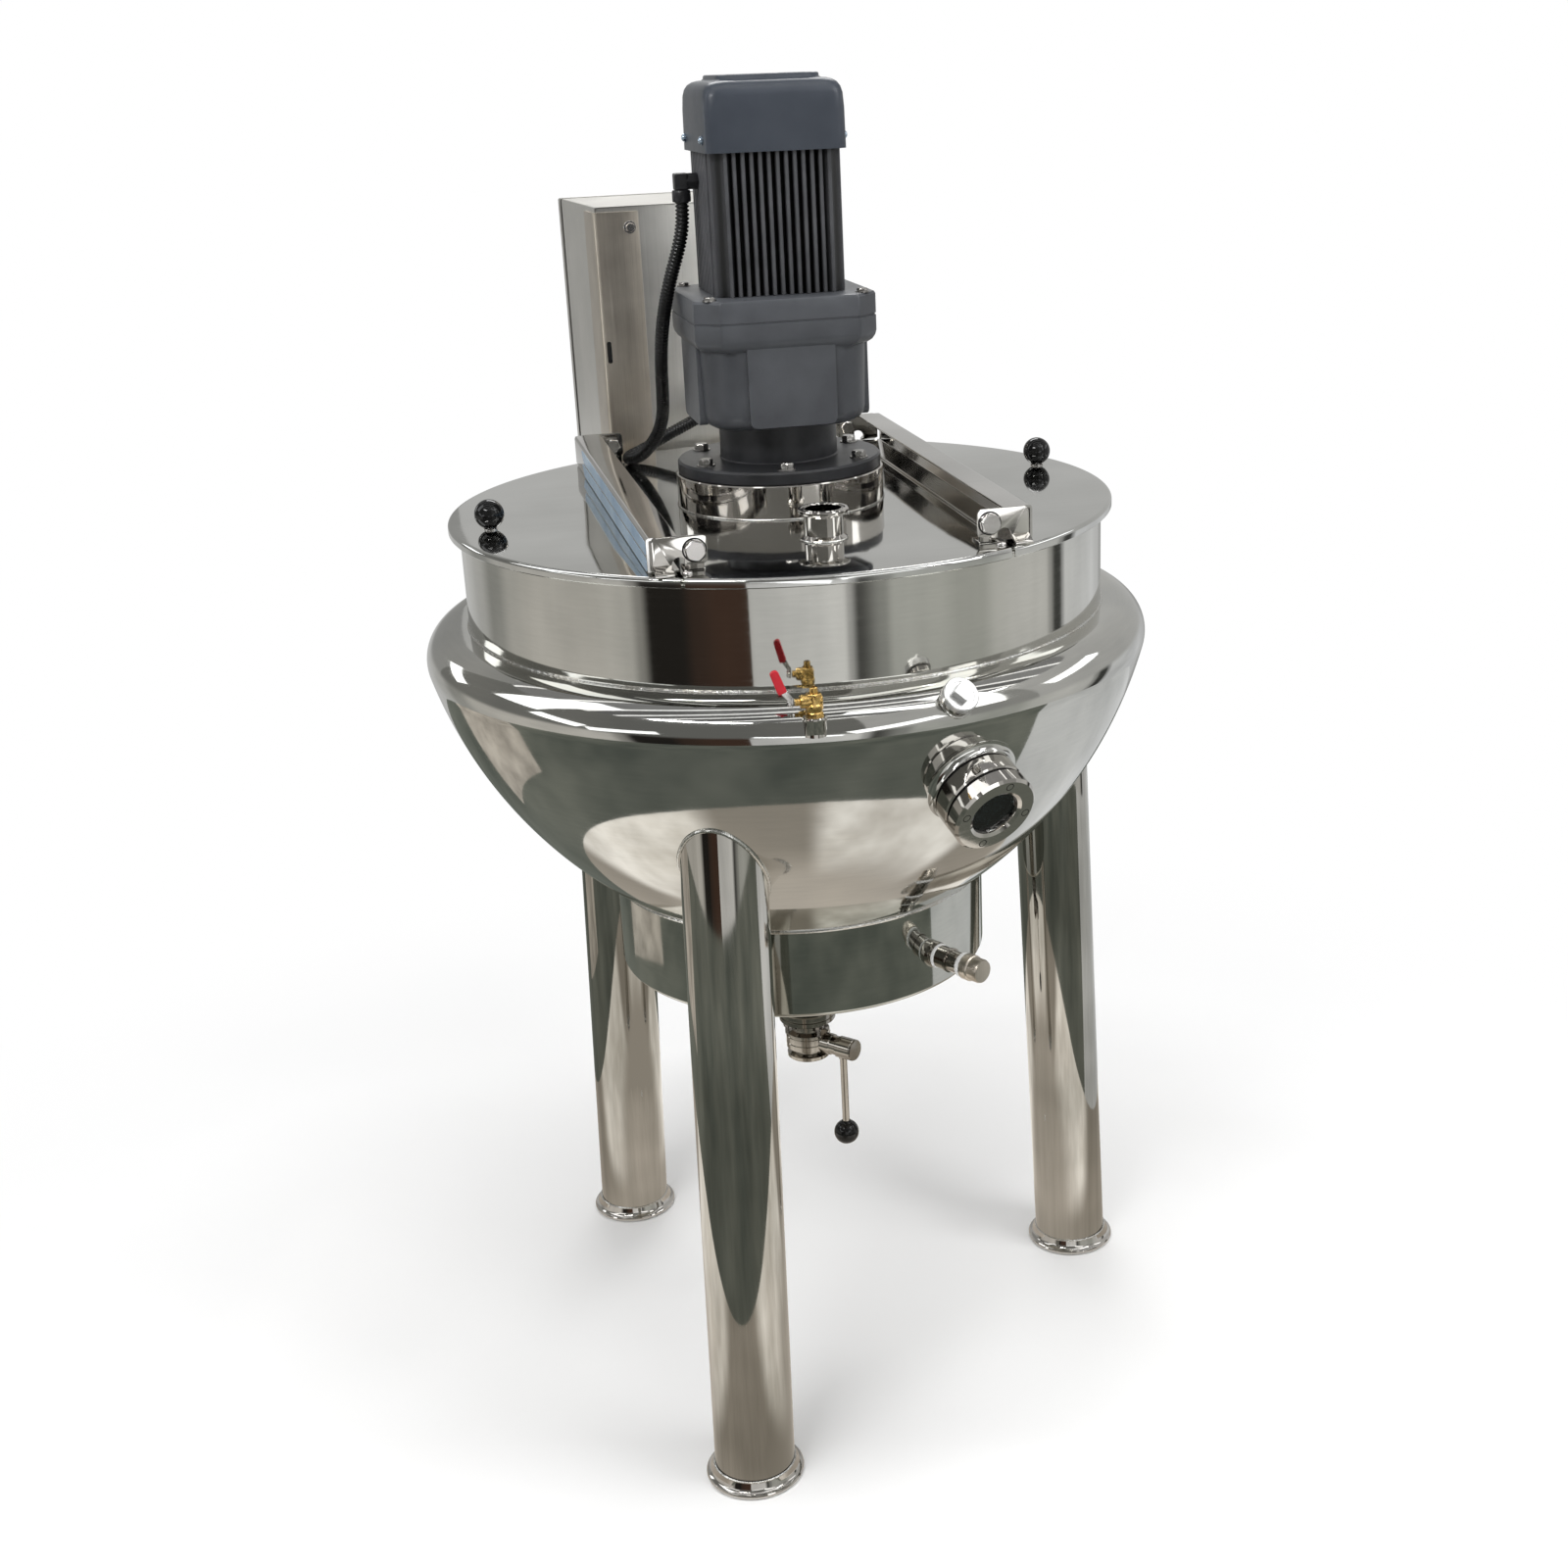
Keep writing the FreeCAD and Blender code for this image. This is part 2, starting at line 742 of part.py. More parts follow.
def agitator():
    """Anchor stirrer that hangs from the gearbox on its shaft."""
    reach = shell_inner - agitator_gap
    low = pot_bowl_level - reach
    ring = sector(
        [
            line((0, low), (0, low + agitator_bar)),
            arc((0, low + agitator_bar), anchor_mid(reach - agitator_bar),
                (reach - agitator_bar, pot_bowl_level)),
            line((reach - agitator_bar, pot_bowl_level), (reach, pot_bowl_level)),
            arc((reach, pot_bowl_level), anchor_mid(reach), (0, low)),
        ],
        0,
        360,
    )
    agitator_top = pot_bowl_level + agitator_arm_rise
    slab = plate(-reach, reach, -agitator_plate / 2, agitator_plate / 2, low, agitator_top)
    blades = ring.common(slab)
    half = agitator_plate / 2
    for side in (-1, 1):
        x0, x1 = sorted((side * reach, side * (reach - agitator_bar)))
        blades = blades.fuse(plate(x0, x1, -half, half, pot_bowl_level, agitator_top))
    arm = plate(-reach, reach, -half, half, agitator_top - agitator_bar, agitator_top)
    shaft = Part.makeCylinder(agitator_shaft, pedestal_top - low, Vec(0, 0, low))
    return blades.fuse(arm).fuse(shaft)


def anchor_mid(radius):
    half = math.radians(45)
    return (radius * math.cos(half), pot_bowl_level - radius * math.sin(half))


def lid_ferrule():
    """Open clamp ferrule standing on the bridge."""
    base = Vec(0, ferrule_y, lid_top)
    body = Part.makeCylinder(ferrule_tube, ferrule_height, base)
    collar = Part.makeCylinder(ferrule_collar, ferrule_collar_height, base)
    lip = Part.makeCylinder(ferrule_flange, ferrule_lip, base + UP * (ferrule_height - ferrule_lip))
    bore = Part.makeCylinder(ferrule_bore, ferrule_height, base)
    return body.fuse([collar, lip]).cut(bore)


def on_shoulder(angle, turn):
    """Point of the jacket's knuckle, angle degrees round and turn degrees up."""
    radius, level = on_knuckle(turn)
    return polar(radius, angle, level)


def cock_nut_base():
    return on_shoulder(cock_angle, cock_turn) + UP * (cock_boss_height - cock_sink)


def cock_body():
    """Brass cock on a steel boss, with a hose nipple on top."""
    seat = cock_nut_base()
    boss = Part.makeCylinder(cock_boss, cock_boss_height, seat - UP * cock_boss_height)
    body = hexagon(cock_nut_flats, cock_nut_height, seat, UP)
    barrel = Part.makeCylinder(
        cock_barrel,
        cock_barrel_left + cock_barrel_right,
        seat + Vec(-cock_barrel_left, 0, cock_barrel_rise),
        Vec(1, 0, 0),
    )
    nipple = Part.makeCylinder(cock_nipple, cock_nipple_height, seat + UP * cock_nut_height)
    return boss.cut(jacket_solid()).fuse([body, barrel, nipple])


def cock_lever():
    """Red lever on the end of the cock's stem."""
    reach = cock_barrel_left + lever_gap + lever_plate
    pivot = cock_nut_base() + Vec(-reach, 0, cock_barrel_rise)
    print("cock pivot", [round(c, 3) for c in pivot])
    hub = Part.makeCylinder(lever_hub, lever_plate, pivot, Vec(1, 0, 0))
    corner = pivot - Vec(0, lever_width / 2, 0)
    return hub.fuse(Part.makeBox(lever_plate, lever_width, lever_length, corner))


def leaning(angle, lean):
    """Direction out from the axis, tipped up by lean degrees."""
    turn = math.radians(lean)
    return polar(math.cos(turn), angle, math.sin(turn))


def filler_plug():
    """Filler boss on the shoulder, closed by a plug with a square head."""
    axis = leaning(plug_angle, plug_lean)
    base = on_shoulder(plug_angle, plug_turn) - axis * plug_sink
    boss = Part.makeCylinder(plug_boss, plug_boss_length, base, axis)
    cap = Part.makeCylinder(plug_cap, plug_cap_height, base + axis * plug_boss_length, axis)
    half = plug_square / 2
    head = Part.makeBox(plug_square, plug_square, plug_square_height, Vec(-half, -half, 0))
    head.Placement = FreeCAD.Placement(
        base + axis * (plug_boss_length + plug_cap_height), FreeCAD.Rotation(UP, axis)
    ).multiply(head.Placement)
    return boss.cut(jacket_solid()).fuse([cap, head])


def sight_axis():
    return leaning(sight_angle, sight_lean)


def sight_base():
    return polar(bowl_mid_radius + sight_out, sight_angle, bowl_mid_level + sight_up)


def sight_bore():
    """The round window's way through the bowl and out through the fitting."""
    axis = sight_axis()
    start = sight_base() - axis * sight_bore_reach
    return Part.makeCylinder(sight_window, sight_bore_reach + sight_end, start, axis)


def sight_body():
    """Sight glass fitting: neck on the bowl and two flange rings around it."""
    axis, base = sight_axis(), sight_base()
    neck = Part.makeCylinder(sight_neck, sight_sink + sight_end, base - axis * sight_sink, axis)
    neck = neck.cut(sight_bore()).cut(jacket_solid())
    inner = tube(sight_flange, sight_neck, sight_inner_ring,
                 base + axis * sight_inner_start, axis)
    outer = tube(sight_flange, sight_neck, sight_outer_ring,
                 base + axis * sight_outer_start, axis)
    return Part.makeCompound([neck, inner, outer])


def sight_glass():
    """Round pane set in the outer flange ring."""
    axis = sight_axis()
    seat = sight_base() + axis * sight_outer_start
    return Part.makeCylinder(sight_window, sight_pane, seat, axis)


def drain_bore():
    axis = leaning(drain_angle, 0)
    return Part.makeCylinder(drain_bore_radius, drum_radius, Vec(0, 0, drum_bottom + drain_rise), axis)


def drain_nipple():
    """Drain coupling on the drum with a short pipe and its screwed cap."""
    axis = leaning(drain_angle, 0)
    base = axis * (drum_radius - drain_sink) + Vec(0, 0, drum_bottom + drain_rise)
    coupling = Part.makeCylinder(drain_coupling, drain_coupling_length, base, axis)
    pipe = Part.makeCylinder(drain_pipe, drain_length, base, axis)
    cap_start = base + axis * (drain_length + drain_sink - drain_cap_length)
    cap = Part.makeCylinder(drain_cap, drain_cap_length, cap_start, axis)
    inside = Part.makeCylinder(drum_radius, drum_top)
    return coupling.fuse([pipe, cap]).cut(inside)


def outlet_pipe():
    """Outlet tube from the pot's bottom through the drum to the valve."""
    top = pot_bowl_level - math.sqrt(shell_radius ** 2 - outlet_bore ** 2)
    return tube(pipe_radius, outlet_bore, top - valve_top, Vec(0, 0, valve_top))


def valve_body():
    """Outlet valve: top flange, round body with its spindle stem, clamp ferrule."""
    flange = Part.makeCylinder(valve_flange, valve_height, Vec(0, 0, valve_bottom))
    pipe = Part.makeCylinder(pipe_radius, valve_bottom - outlet_end, Vec(0, 0, outlet_end))
    body = Part.makeCylinder(valve_body_radius, valve_body_top - valve_body_bottom,
                             Vec(0, 0, valve_body_bottom))
    lip = Part.makeCylinder(ferrule_flange, ferrule_lip, Vec(0, 0, outlet_end))
    stem = Part.makeCylinder(spindle_radius, spindle_reach, Vec(0, 0, spindle_level),
                             leaning(spindle_angle, 0))
    bore = Part.makeCylinder(outlet_bore, valve_top - outlet_end, Vec(0, 0, outlet_end))
    return flange.fuse([pipe, body, lip, stem]).cut(bore)


def handle_rod_top():
    """Point on the spindle's axis where the handle's rod starts."""
    reach = spindle_reach + handle_clearance + handle_rod_inset
    return leaning(spindle_angle, 0) * reach + Vec(0, 0, spindle_level)


def valve_handle():
    """Handle head on the spindle with its rod hanging down."""
    axis = leaning(spindle_angle, 0)
    start = axis * (spindle_reach + handle_clearance) + Vec(0, 0, spindle_level)
    head = Part.makeCylinder(handle_head, handle_head_length, start, axis)
    rod = Part.makeCylinder(handle_rod, handle_drop, handle_rod_top(), DOWN)
    return head.fuse(rod).cut(handle_ball_solid())


def handle_ball_solid():
    return Part.makeSphere(handle_ball, handle_rod_top() - UP * handle_drop)


def pan_walls(y0, y1, wall):
    """The four sides of a box between two depths, each a plate of its own."""
    half = box_width / 2
    inner = half - wall
    return [
        plate(-half, -inner, y0, y1, box_bottom, box_top),
        plate(inner, half, y0, y1, box_bottom, box_top),
        plate(-inner, inner, y0, y1, box_bottom, box_bottom + wall),
        plate(-inner, inner, y0, y1, box_top - wall, box_top),
    ]


def hinge_axis():
    """Foot of the door hinge's axis, before the box is turned to the stand."""
    return Vec(box_width / 2 + hinge_barrel + hinge_clearance, box_back + seat_gap, 0)


def hinge_half(level, y0, y1):
    """One half of a door hinge: barrel and the leaf on the box's side."""
    half = box_width / 2
    barrel = Part.makeCylinder(hinge_barrel, hinge_half_length, hinge_axis() + UP * level)
    return barrel.fuse(plate(half, half + hinge_leaf, y0, y1, level, level + hinge_half_length))


def hinge_levels():
    return (box_bottom + hinge_level, box_top - hinge_level - 2 * hinge_half_length)


def box_body():
    """Control box shell, open at the back, with the lower halves of its hinges."""
    half = box_width / 2
    front = plate(-half, half, box_front, box_front + box_wall, box_bottom, box_top)
    sides = pan_walls(box_front + box_wall, box_back, box_wall)
    leaf_end = box_back + seat_gap
    leaves = [hinge_half(level, leaf_end - hinge_leaf_reach, leaf_end) for level in hinge_levels()]
    return turned(Part.makeCompound([front] + sides + leaves), stand_turn)


def box_door_panel():
    """Rear door of the control box: a shallow pan with the hinges' upper halves."""
    half = box_width / 2
    front, back = box_back + seat_gap, box_back + box_door
    panel = plate(-half, half, back - door_wall, back, box_bottom, box_top)
    sides = pan_walls(front, back - door_wall, door_wall)
    lift = hinge_half_length + hinge_play
    leaves = [hinge_half(level + lift, front, front + hinge_leaf_reach) for level in hinge_levels()]
    axis = turned(Part.Vertex(hinge_axis()), stand_turn).Point
    print("door hinge", round(axis.x, 3), round(axis.y, 3))
    return turned(Part.makeCompound([panel] + sides + leaves), stand_turn)


def post(side):
    """Angle post on one front corner of the box, with its tie to the pot."""
    half = box_width / 2
    top, low = box_top - post_top_drop, shoulder_level - post_foot_drop
    x0, x1 = sorted((side * half, side * (half - post_leg)))
    front = plate(x0, x1, box_front - post_wall, box_front, low, top)
    s0, s1 = sorted((side * half, side * (half + post_wall)))
    flank = plate(s0, s1, box_front - post_wall, box_front + post_leg, low, top)
    t0, t1 = sorted((side * (half - tie_inset), side * (half - tie_inset - tie_width)))
    tie_top = rim_low - tie_gap
    tie = plate(t0, t1, 0, box_front - post_wall, tie_top - tie_height, tie_top)
    tie = tie.cut(Part.makeCylinder(shell_radius, box_top))
    return front.fuse(flank).fuse(tie).cut(jacket_solid())


def box_posts():
    """The two posts, standing on the jacket's shoulder."""
    return turned(Part.makeCompound([post(side) for side in (-1, 1)]), stand_turn)


def all_nodes():
    nodes = {}
    nodes["pot_wall"] = pot_wall()
    nodes["pot_bowl"] = pot_bowl()
    nodes["pot_bottom"] = pot_bottom()
    for name, start in (("right", -45), ("back", 45), ("left", 135), ("front", 225)):
        nodes["jacket_" + name] = jacket_quarter(start)
    for index, name in enumerate(("front", "right", "back")):
        nodes["leg_" + name] = leg(index)
    nodes["feet"] = feet()
    nodes["drum_wall"] = drum_wall()
    nodes["drum_base"] = drum_base()
    nodes["lid_bridge"] = lid_bridge()
    nodes["hinge_lugs"] = hinge_lugs()
    for side, name in ((-1, "left"), (1, "right")):
        nodes["flap_" + name] = flap(side)
        nodes["channel_" + name] = channel(side)
        nodes["brackets_" + name] = brackets(side)
        nodes["knob_" + name] = knob(side)
    nodes["pedestal_ring"] = pedestal_ring()
    nodes["gearbox"] = gearbox()
    nodes["motor"] = motor()
    nodes["fan_cover"] = fan_cover()
    nodes["motor_gland"] = motor_gland()
    nodes["agitator"] = agitator()
    nodes["lid_ferrule"] = lid_ferrule()
    nodes["cock_body"] = cock_body()
    nodes["cock_lever"] = cock_lever()
    nodes["filler_plug"] = filler_plug()
    nodes["sight_body"] = sight_body()
    nodes["sight_glass"] = sight_glass()
    nodes["drain_nipple"] = drain_nipple()
    nodes["outlet_pipe"] = outlet_pipe()
    nodes["valve_body"] = valve_body()
    nodes["valve_handle"] = valve_handle()
    nodes["handle_ball"] = handle_ball_solid()
    nodes["box_body"] = box_body()
    nodes["box_door"] = box_door_panel()
    nodes["box_posts"] = box_posts()
    nodes["box_gland"] = box_gland()
    nodes["conduit"] = conduit()
    return nodes


def export(nodes):
    """Write each node with the origin under the middle of the whole machine."""
    solids = [shape for name, shape in nodes.items() if name != "conduit"]
    box = Part.makeCompound(solids).BoundBox
    shift = Vec(-box.Center.x, -box.Center.y, 0)
    for name, shape in nodes.items():
        shape.translate(shift)
        shape.exportStep("parts/" + name + ".step")
    print("kettle axis at", round(shift.x, 4), round(shift.y, 4))


export(all_nodes())
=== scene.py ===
import math

import bmesh
import bpy
from mathutils import Matrix, Vector


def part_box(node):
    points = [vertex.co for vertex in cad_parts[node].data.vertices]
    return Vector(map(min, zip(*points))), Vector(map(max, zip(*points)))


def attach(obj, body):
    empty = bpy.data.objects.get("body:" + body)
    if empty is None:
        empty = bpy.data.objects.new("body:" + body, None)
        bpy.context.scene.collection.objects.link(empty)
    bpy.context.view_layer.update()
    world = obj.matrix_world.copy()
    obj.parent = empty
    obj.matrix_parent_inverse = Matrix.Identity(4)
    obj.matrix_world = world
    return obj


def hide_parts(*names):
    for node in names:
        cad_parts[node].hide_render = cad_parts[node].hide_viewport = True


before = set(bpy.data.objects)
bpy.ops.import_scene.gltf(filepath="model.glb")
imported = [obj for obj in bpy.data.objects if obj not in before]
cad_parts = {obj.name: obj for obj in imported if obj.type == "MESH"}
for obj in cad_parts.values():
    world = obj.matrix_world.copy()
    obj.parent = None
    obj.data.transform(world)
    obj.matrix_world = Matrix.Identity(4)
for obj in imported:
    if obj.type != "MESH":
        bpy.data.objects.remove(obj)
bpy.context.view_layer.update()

UP = Vector((0, 0, 1))
ON_AXIS = Matrix.Identity(4)

# The kettle's own axis, on the floor, and the levels that the other pieces start from
ring_low, ring_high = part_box("pedestal_ring")
axis = Vector(((ring_low.x + ring_high.x) / 2, (ring_low.y + ring_high.y) / 2, 0))
lid_top = ring_low.z
lid_radius = (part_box("lid_bridge")[1].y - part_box("lid_bridge")[0].y) / 2
shell_radius = 0.450
shoulder_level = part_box("jacket_front")[1].z
drum_radius = (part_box("drum_wall")[1].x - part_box("drum_wall")[0].x) / 2
drum_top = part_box("drum_wall")[1].z
drum_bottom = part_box("drum_base")[0].z
stand_turn = math.radians(4.8)
quarter_turns = [Matrix.Rotation(math.radians(90 * i), 4, "Z") for i in range(4)]


# Finishes


def sign(operation, reflected=False):
    """What a plain sign, such as + or *, adds to a finish: its Math node."""
    def apply(self, other=0.0):
        a, b = (other, self) if reflected else (self, other)
        return self.finish.node("ShaderNodeMath", {"operation": operation}, {0: a, 1: b})

    return apply


class Value:
    """A number, colour or vector on its way through a finish, usable in plain sums."""

    def __init__(self, finish, socket):
        self.finish, self.socket = finish, socket

    __add__ = __radd__ = sign("ADD")
    __mul__ = __rmul__ = sign("MULTIPLY")
    __sub__, __rsub__ = sign("SUBTRACT"), sign("SUBTRACT", reflected=True)
    __pow__, __rpow__ = sign("POWER"), sign("POWER", reflected=True)
    __gt__, __lt__ = sign("GREATER_THAN"), sign("LESS_THAN")
    __abs__ = sign("ABSOLUTE")


class Finish:
    """A material built from nodes, with the record's slot that it belongs to."""

    def __init__(self, name, slot, **constants):
        self.slot = slot
        self.material = bpy.data.materials.new(name)
        self.material.use_nodes = True
        self.tree = self.material.node_tree
        self.shader = self.tree.nodes["Principled BSDF"]
        for socket, value in constants.items():
            self.shader.inputs[socket.replace("_", " ")].default_value = value

    def node(self, kind, settings=None, values=None, out=0):
        made = self.tree.nodes.new(kind)
        for key, value in (settings or {}).items():
            if key == "stops":
                ramp = made.color_ramp
                while len(ramp.elements) < len(value):
                    ramp.elements.new(1.0)
                for element, (place, colour) in zip(ramp.elements, value):
                    element.position = place
                    element.color = (*colour, 1)
            else:
                setattr(made, key, value)
        for key, value in (values or {}).items():
            if isinstance(value, Value):
                self.tree.links.new(value.socket, made.inputs[key])
            else:
                made.inputs[key].default_value = value
        return Value(self, made.outputs[out])

    def feed(self, socket, value):
        self.tree.links.new(value.socket, self.shader.inputs[socket])

    def place(self):
        """Where a point of the piece is at rest, from the kettle's axis on the floor."""
        here = self.node("ShaderNodeTexCoord", out="Object")
        return self.node("ShaderNodeVectorMath", {"operation": "SUBTRACT"}, {0: here, 1: axis})

    def parts(self, vector):
        return [self.node("ShaderNodeSeparateXYZ", values={0: vector}, out=i) for i in range(3)]

    def stretched(self, vector, scale):
        return self.node("ShaderNodeVectorMath", {"operation": "MULTIPLY"}, {0: vector, 1: scale})

    def noise(self, vector, scale, detail=2.0, rough=0.5):
        values = {"Vector": vector, "Scale": scale, "Detail": detail, "Roughness": rough}
        return self.node("ShaderNodeTexNoise", {}, values, out="Fac")

    def mix(self, mask, a, b):
        values = {0: mask, 6: four(a), 7: four(b)}
        return self.node("ShaderNodeMix", {"data_type": "RGBA"}, values, out=2)

    def ramp(self, value, *stops):
        return self.node("ShaderNodeValToRGB", {"stops": stops}, {0: value})

    def bump(self, height, distance, strength=1.0):
        values = {"Strength": strength, "Distance": distance, "Height": height}
        self.feed("Normal", self.node("ShaderNodeBump", {}, values))

    def round_the_axis(self):
        """Distance from the axis, turn about it and height, as three numbers."""
        x, y, z = self.parts(self.place())
        radius = (x * x + y * y) ** 0.5
        turn = self.node("ShaderNodeMath", {"operation": "ARCTAN2"}, {0: y, 1: x})
        return radius, turn, z

    def joined(self, x, y, z):
        return self.node("ShaderNodeCombineXYZ", values={0: x, 1: y, 2: z})


def four(colour):
    return colour if isinstance(colour, Value) else (*colour, 1.0)


def mirror_steel(name, dark, light, lines="round", rough=0.035, wave=0.0007, streaks=0.35):
    """Buffed stainless sheet: soft waves in the sheet and fine marks from the mop."""
    finish = Finish(name, "polished_steel", Metallic=1.0)
    place = finish.place()
    if lines == "round":
        radius, turn, z = finish.round_the_axis()
        along = finish.joined(radius * 60, turn * 2.5, z * 60)
    elif lines == "up":
        along = finish.stretched(place, (20.0, 20.0, 0.6))
    else:
        along = finish.stretched(place, (1.6, 60.0, 60.0))
    marks = finish.noise(along, 3.0, 5.0, 0.65)
    cloud = finish.noise(place, 2.6, 3.0, 0.55)
    sheet = finish.noise(place, 5.5, 1.0, 0.3)
    tone = (cloud - 0.35) * 2.6
    finish.feed("Base Color", finish.ramp(tone + (marks - 0.5) * streaks, (0.15, dark), (0.85, light)))
    finish.feed("Roughness", rough + (marks ** 2) * 0.10 + (cloud > 0.56) * 0.012)
    finish.bump(sheet + marks * 0.012, wave)
    return finish


def brushed_steel(name, dark, light, lines=(90.0, 90.0, 1.2), rough=0.26):
    """Satin sheet with long grinding marks and handling smudges."""
    finish = Finish(name, "satin_steel", Metallic=1.0)
    place = finish.place()
    grain = finish.noise(finish.stretched(place, lines), 5.0, 6.0, 0.7)
    smudge = finish.noise(place, 7.0, 4.0, 0.6)
    finish.feed("Base Color", finish.ramp(smudge * 0.6 + grain * 0.4, (0.3, dark), (0.68, light)))
    finish.feed("Roughness", rough + grain * 0.12 + smudge * 0.10)
    finish.bump(grain, 0.00012, 0.6)
    return finish


def cast_paint(name, dark, light, rough=0.34, grit=0.0003, shaded_grooves=False):
    """Sprayed grey enamel over a casting; when asked, painted shade darkens the fins towards their roots,
    near black between them.
    """
    finish = Finish(name, "gear_paint", Specular_IOR_Level=0.28)
    place = finish.place()
    skin = finish.noise(place, 260.0, 3.0, 0.55)
    cast = finish.noise(place, 24.0, 4.0, 0.6)
    cloud = finish.noise(place, 6.0, 3.0, 0.5)
    colour = finish.ramp(cloud * 0.7 + cast * 0.3, (0.32, dark), (0.66, light))
    if shaded_grooves:
        # Painted shade: near black towards the fins' roots, grey only at their tips.
        x, y = finish.parts(place)[:2]
        reach = finish.node("ShaderNodeMath", {"operation": "MAXIMUM"}, {0: abs(x), 1: abs(y)})
        span = {"Value": reach, "From Min": 0.0790, "From Max": 0.0868}
        outer = finish.node("ShaderNodeMapRange", {}, span)
        colour = finish.mix(outer, (0.004, 0.004, 0.004), colour)
    finish.feed("Base Color", colour)
    finish.feed("Roughness", rough + cast * 0.12 + skin * 0.05)
    finish.bump(skin * 0.35 + cast, grit)
    return finish


def moulded(name, slot, dark, light, rough, texture=300.0, grit=0.00005, **constants):
    """Moulded plastic or rubber with a faint skin."""
    finish = Finish(name, slot, **constants)
    place = finish.place()
    skin = finish.noise(place, texture, 2.0)
    rub = finish.noise(place, 35.0, 4.0, 0.6)
    finish.feed("Base Color", finish.ramp(rub, (0.35, dark), (0.7, light)))
    finish.feed("Roughness", rough + rub * 0.10)
    finish.bump(skin, grit)
    return finish


shell_steel = mirror_steel("shell_steel", (0.48, 0.48, 0.45), (0.64, 0.63, 0.59), rough=0.03)
bowl_steel = mirror_steel("bowl_steel", (0.50, 0.50, 0.48), (0.68, 0.67, 0.63), rough=0.03, wave=0.0008)
drum_steel = mirror_steel("drum_steel", (0.42, 0.43, 0.40), (0.60, 0.59, 0.55), rough=0.04)
leg_steel = mirror_steel("leg_steel", (0.36, 0.35, 0.32), (0.60, 0.58, 0.54), "up", 0.02, 0.0005, 0.9)
lid_steel = mirror_steel("lid_steel", (0.52, 0.52, 0.50), (0.66, 0.66, 0.64), "across", 0.025, 0.0006)
turned_steel = mirror_steel("turned_steel", (0.50, 0.48, 0.45), (0.70, 0.67, 0.63), rough=0.02, wave=0.00006)
plate_steel = mirror_steel("plate_steel", (0.54, 0.52, 0.49), (0.72, 0.70, 0.66), "across", 0.05, 0.00008)
channel_steel = mirror_steel("channel_steel", (0.54, 0.53, 0.51), (0.72, 0.70, 0.68), "across", 0.05, 0.00005)
box_steel = brushed_steel("box_steel", (0.62, 0.61, 0.57), (0.80, 0.78, 0.74), rough=0.20)
post_steel = brushed_steel("post_steel", (0.45, 0.40, 0.34), (0.74, 0.68, 0.59), rough=0.20)
shaft_steel = brushed_steel("shaft_steel", (0.42, 0.41, 0.39), (0.60, 0.59, 0.56), (60.0, 60.0, 60.0), 0.16)
bolt_steel = mirror_steel("bolt_steel", (0.56, 0.54, 0.52), (0.74, 0.72, 0.70), rough=0.16, wave=0.00003)
bolt_dark = mirror_steel("bolt_dark", (0.22, 0.21, 0.20), (0.42, 0.41, 0.39), rough=0.20, wave=0.00003)
valve_steel = mirror_steel("valve_steel", (0.30, 0.28, 0.25), (0.52, 0.49, 0.44), rough=0.05, wave=0.00006)
cast_steel = moulded("cast_steel", "polished_steel", (0.50, 0.50, 0.49), (0.64, 0.64, 0.63), 0.24, 300.0,
                     0.0001, Metallic=0.8)
screw_zinc = mirror_steel("screw_zinc", (0.30, 0.40, 0.52), (0.56, 0.64, 0.72), rough=0.10, wave=0.00003)
housing_paint = cast_paint("housing_paint", (0.036, 0.038, 0.043), (0.062, 0.066, 0.073), 0.25)
# A darker copy of the housing paint: painted shade on the flange and neck under the gear case.
flange_shade_paint = cast_paint("flange_shade_paint", (0.010, 0.010, 0.011), (0.024, 0.025, 0.028), 0.25)
hood_paint = cast_paint("hood_paint", (0.024, 0.029, 0.038), (0.036, 0.042, 0.053), 0.24, 0.00008)
# The fin paint carries painted shade between the fins.
fin_paint = cast_paint("fin_paint", (0.030, 0.031, 0.034), (0.070, 0.071, 0.077), 0.34, shaded_grooves=True)
# Near black standing in for shade: the motor's core between the fins, the post's slot and the screws'
# sockets.
shade_black = moulded("shade_black", "black_plastic", (0.003, 0.003, 0.003), (0.008, 0.008, 0.008), 0.7,
                    Specular_IOR_Level=0.1)
ball_black = moulded("ball_black", "black_plastic", (0.003, 0.003, 0.003), (0.006, 0.006, 0.006), 0.02,
                     20.0, 0.00001, Specular_IOR_Level=0.36)
gland_black = moulded("gland_black", "black_plastic", (0.006, 0.006, 0.007), (0.014, 0.014, 0.015), 0.28,
                      Specular_IOR_Level=0.3)
hose_black = moulded("hose_black", "conduit_plastic", (0.002, 0.002, 0.002), (0.006, 0.006, 0.006), 0.22,
                     Specular_IOR_Level=0.28)
gasket_rubber = moulded("gasket_rubber", "black_plastic", (0.005, 0.005, 0.005), (0.014, 0.014, 0.013), 0.55,
                        Specular_IOR_Level=0.15)
lever_red = moulded("lever_red", "red_plastic", (0.36, 0.006, 0.014), (0.48, 0.014, 0.026), 0.30,
                    Specular_IOR_Level=0.3)
thread_tape = moulded("thread_tape", "polished_steel", (0.70, 0.70, 0.69), (0.86, 0.86, 0.85), 0.42, 180.0,
                      0.0003)


def film_finish():
    """Blue protective film with wrinkles and lifted, paler places."""
    finish = Finish("protective_film", "polished_steel", Metallic=0.35)
    place = finish.place()
    crease = finish.noise(finish.stretched(place, (3.0, 8.0, 30.0)), 4.0, 3.0, 0.6)
    patch = finish.noise(place, 16.0, 3.0, 0.5)
    finish.feed("Base Color", finish.ramp(patch, (0.35, (0.22, 0.33, 0.46)), (0.7, (0.36, 0.47, 0.58))))
    finish.feed("Roughness", 0.22 + crease * 0.18)
    finish.bump(crease + patch, 0.0005)
    return finish


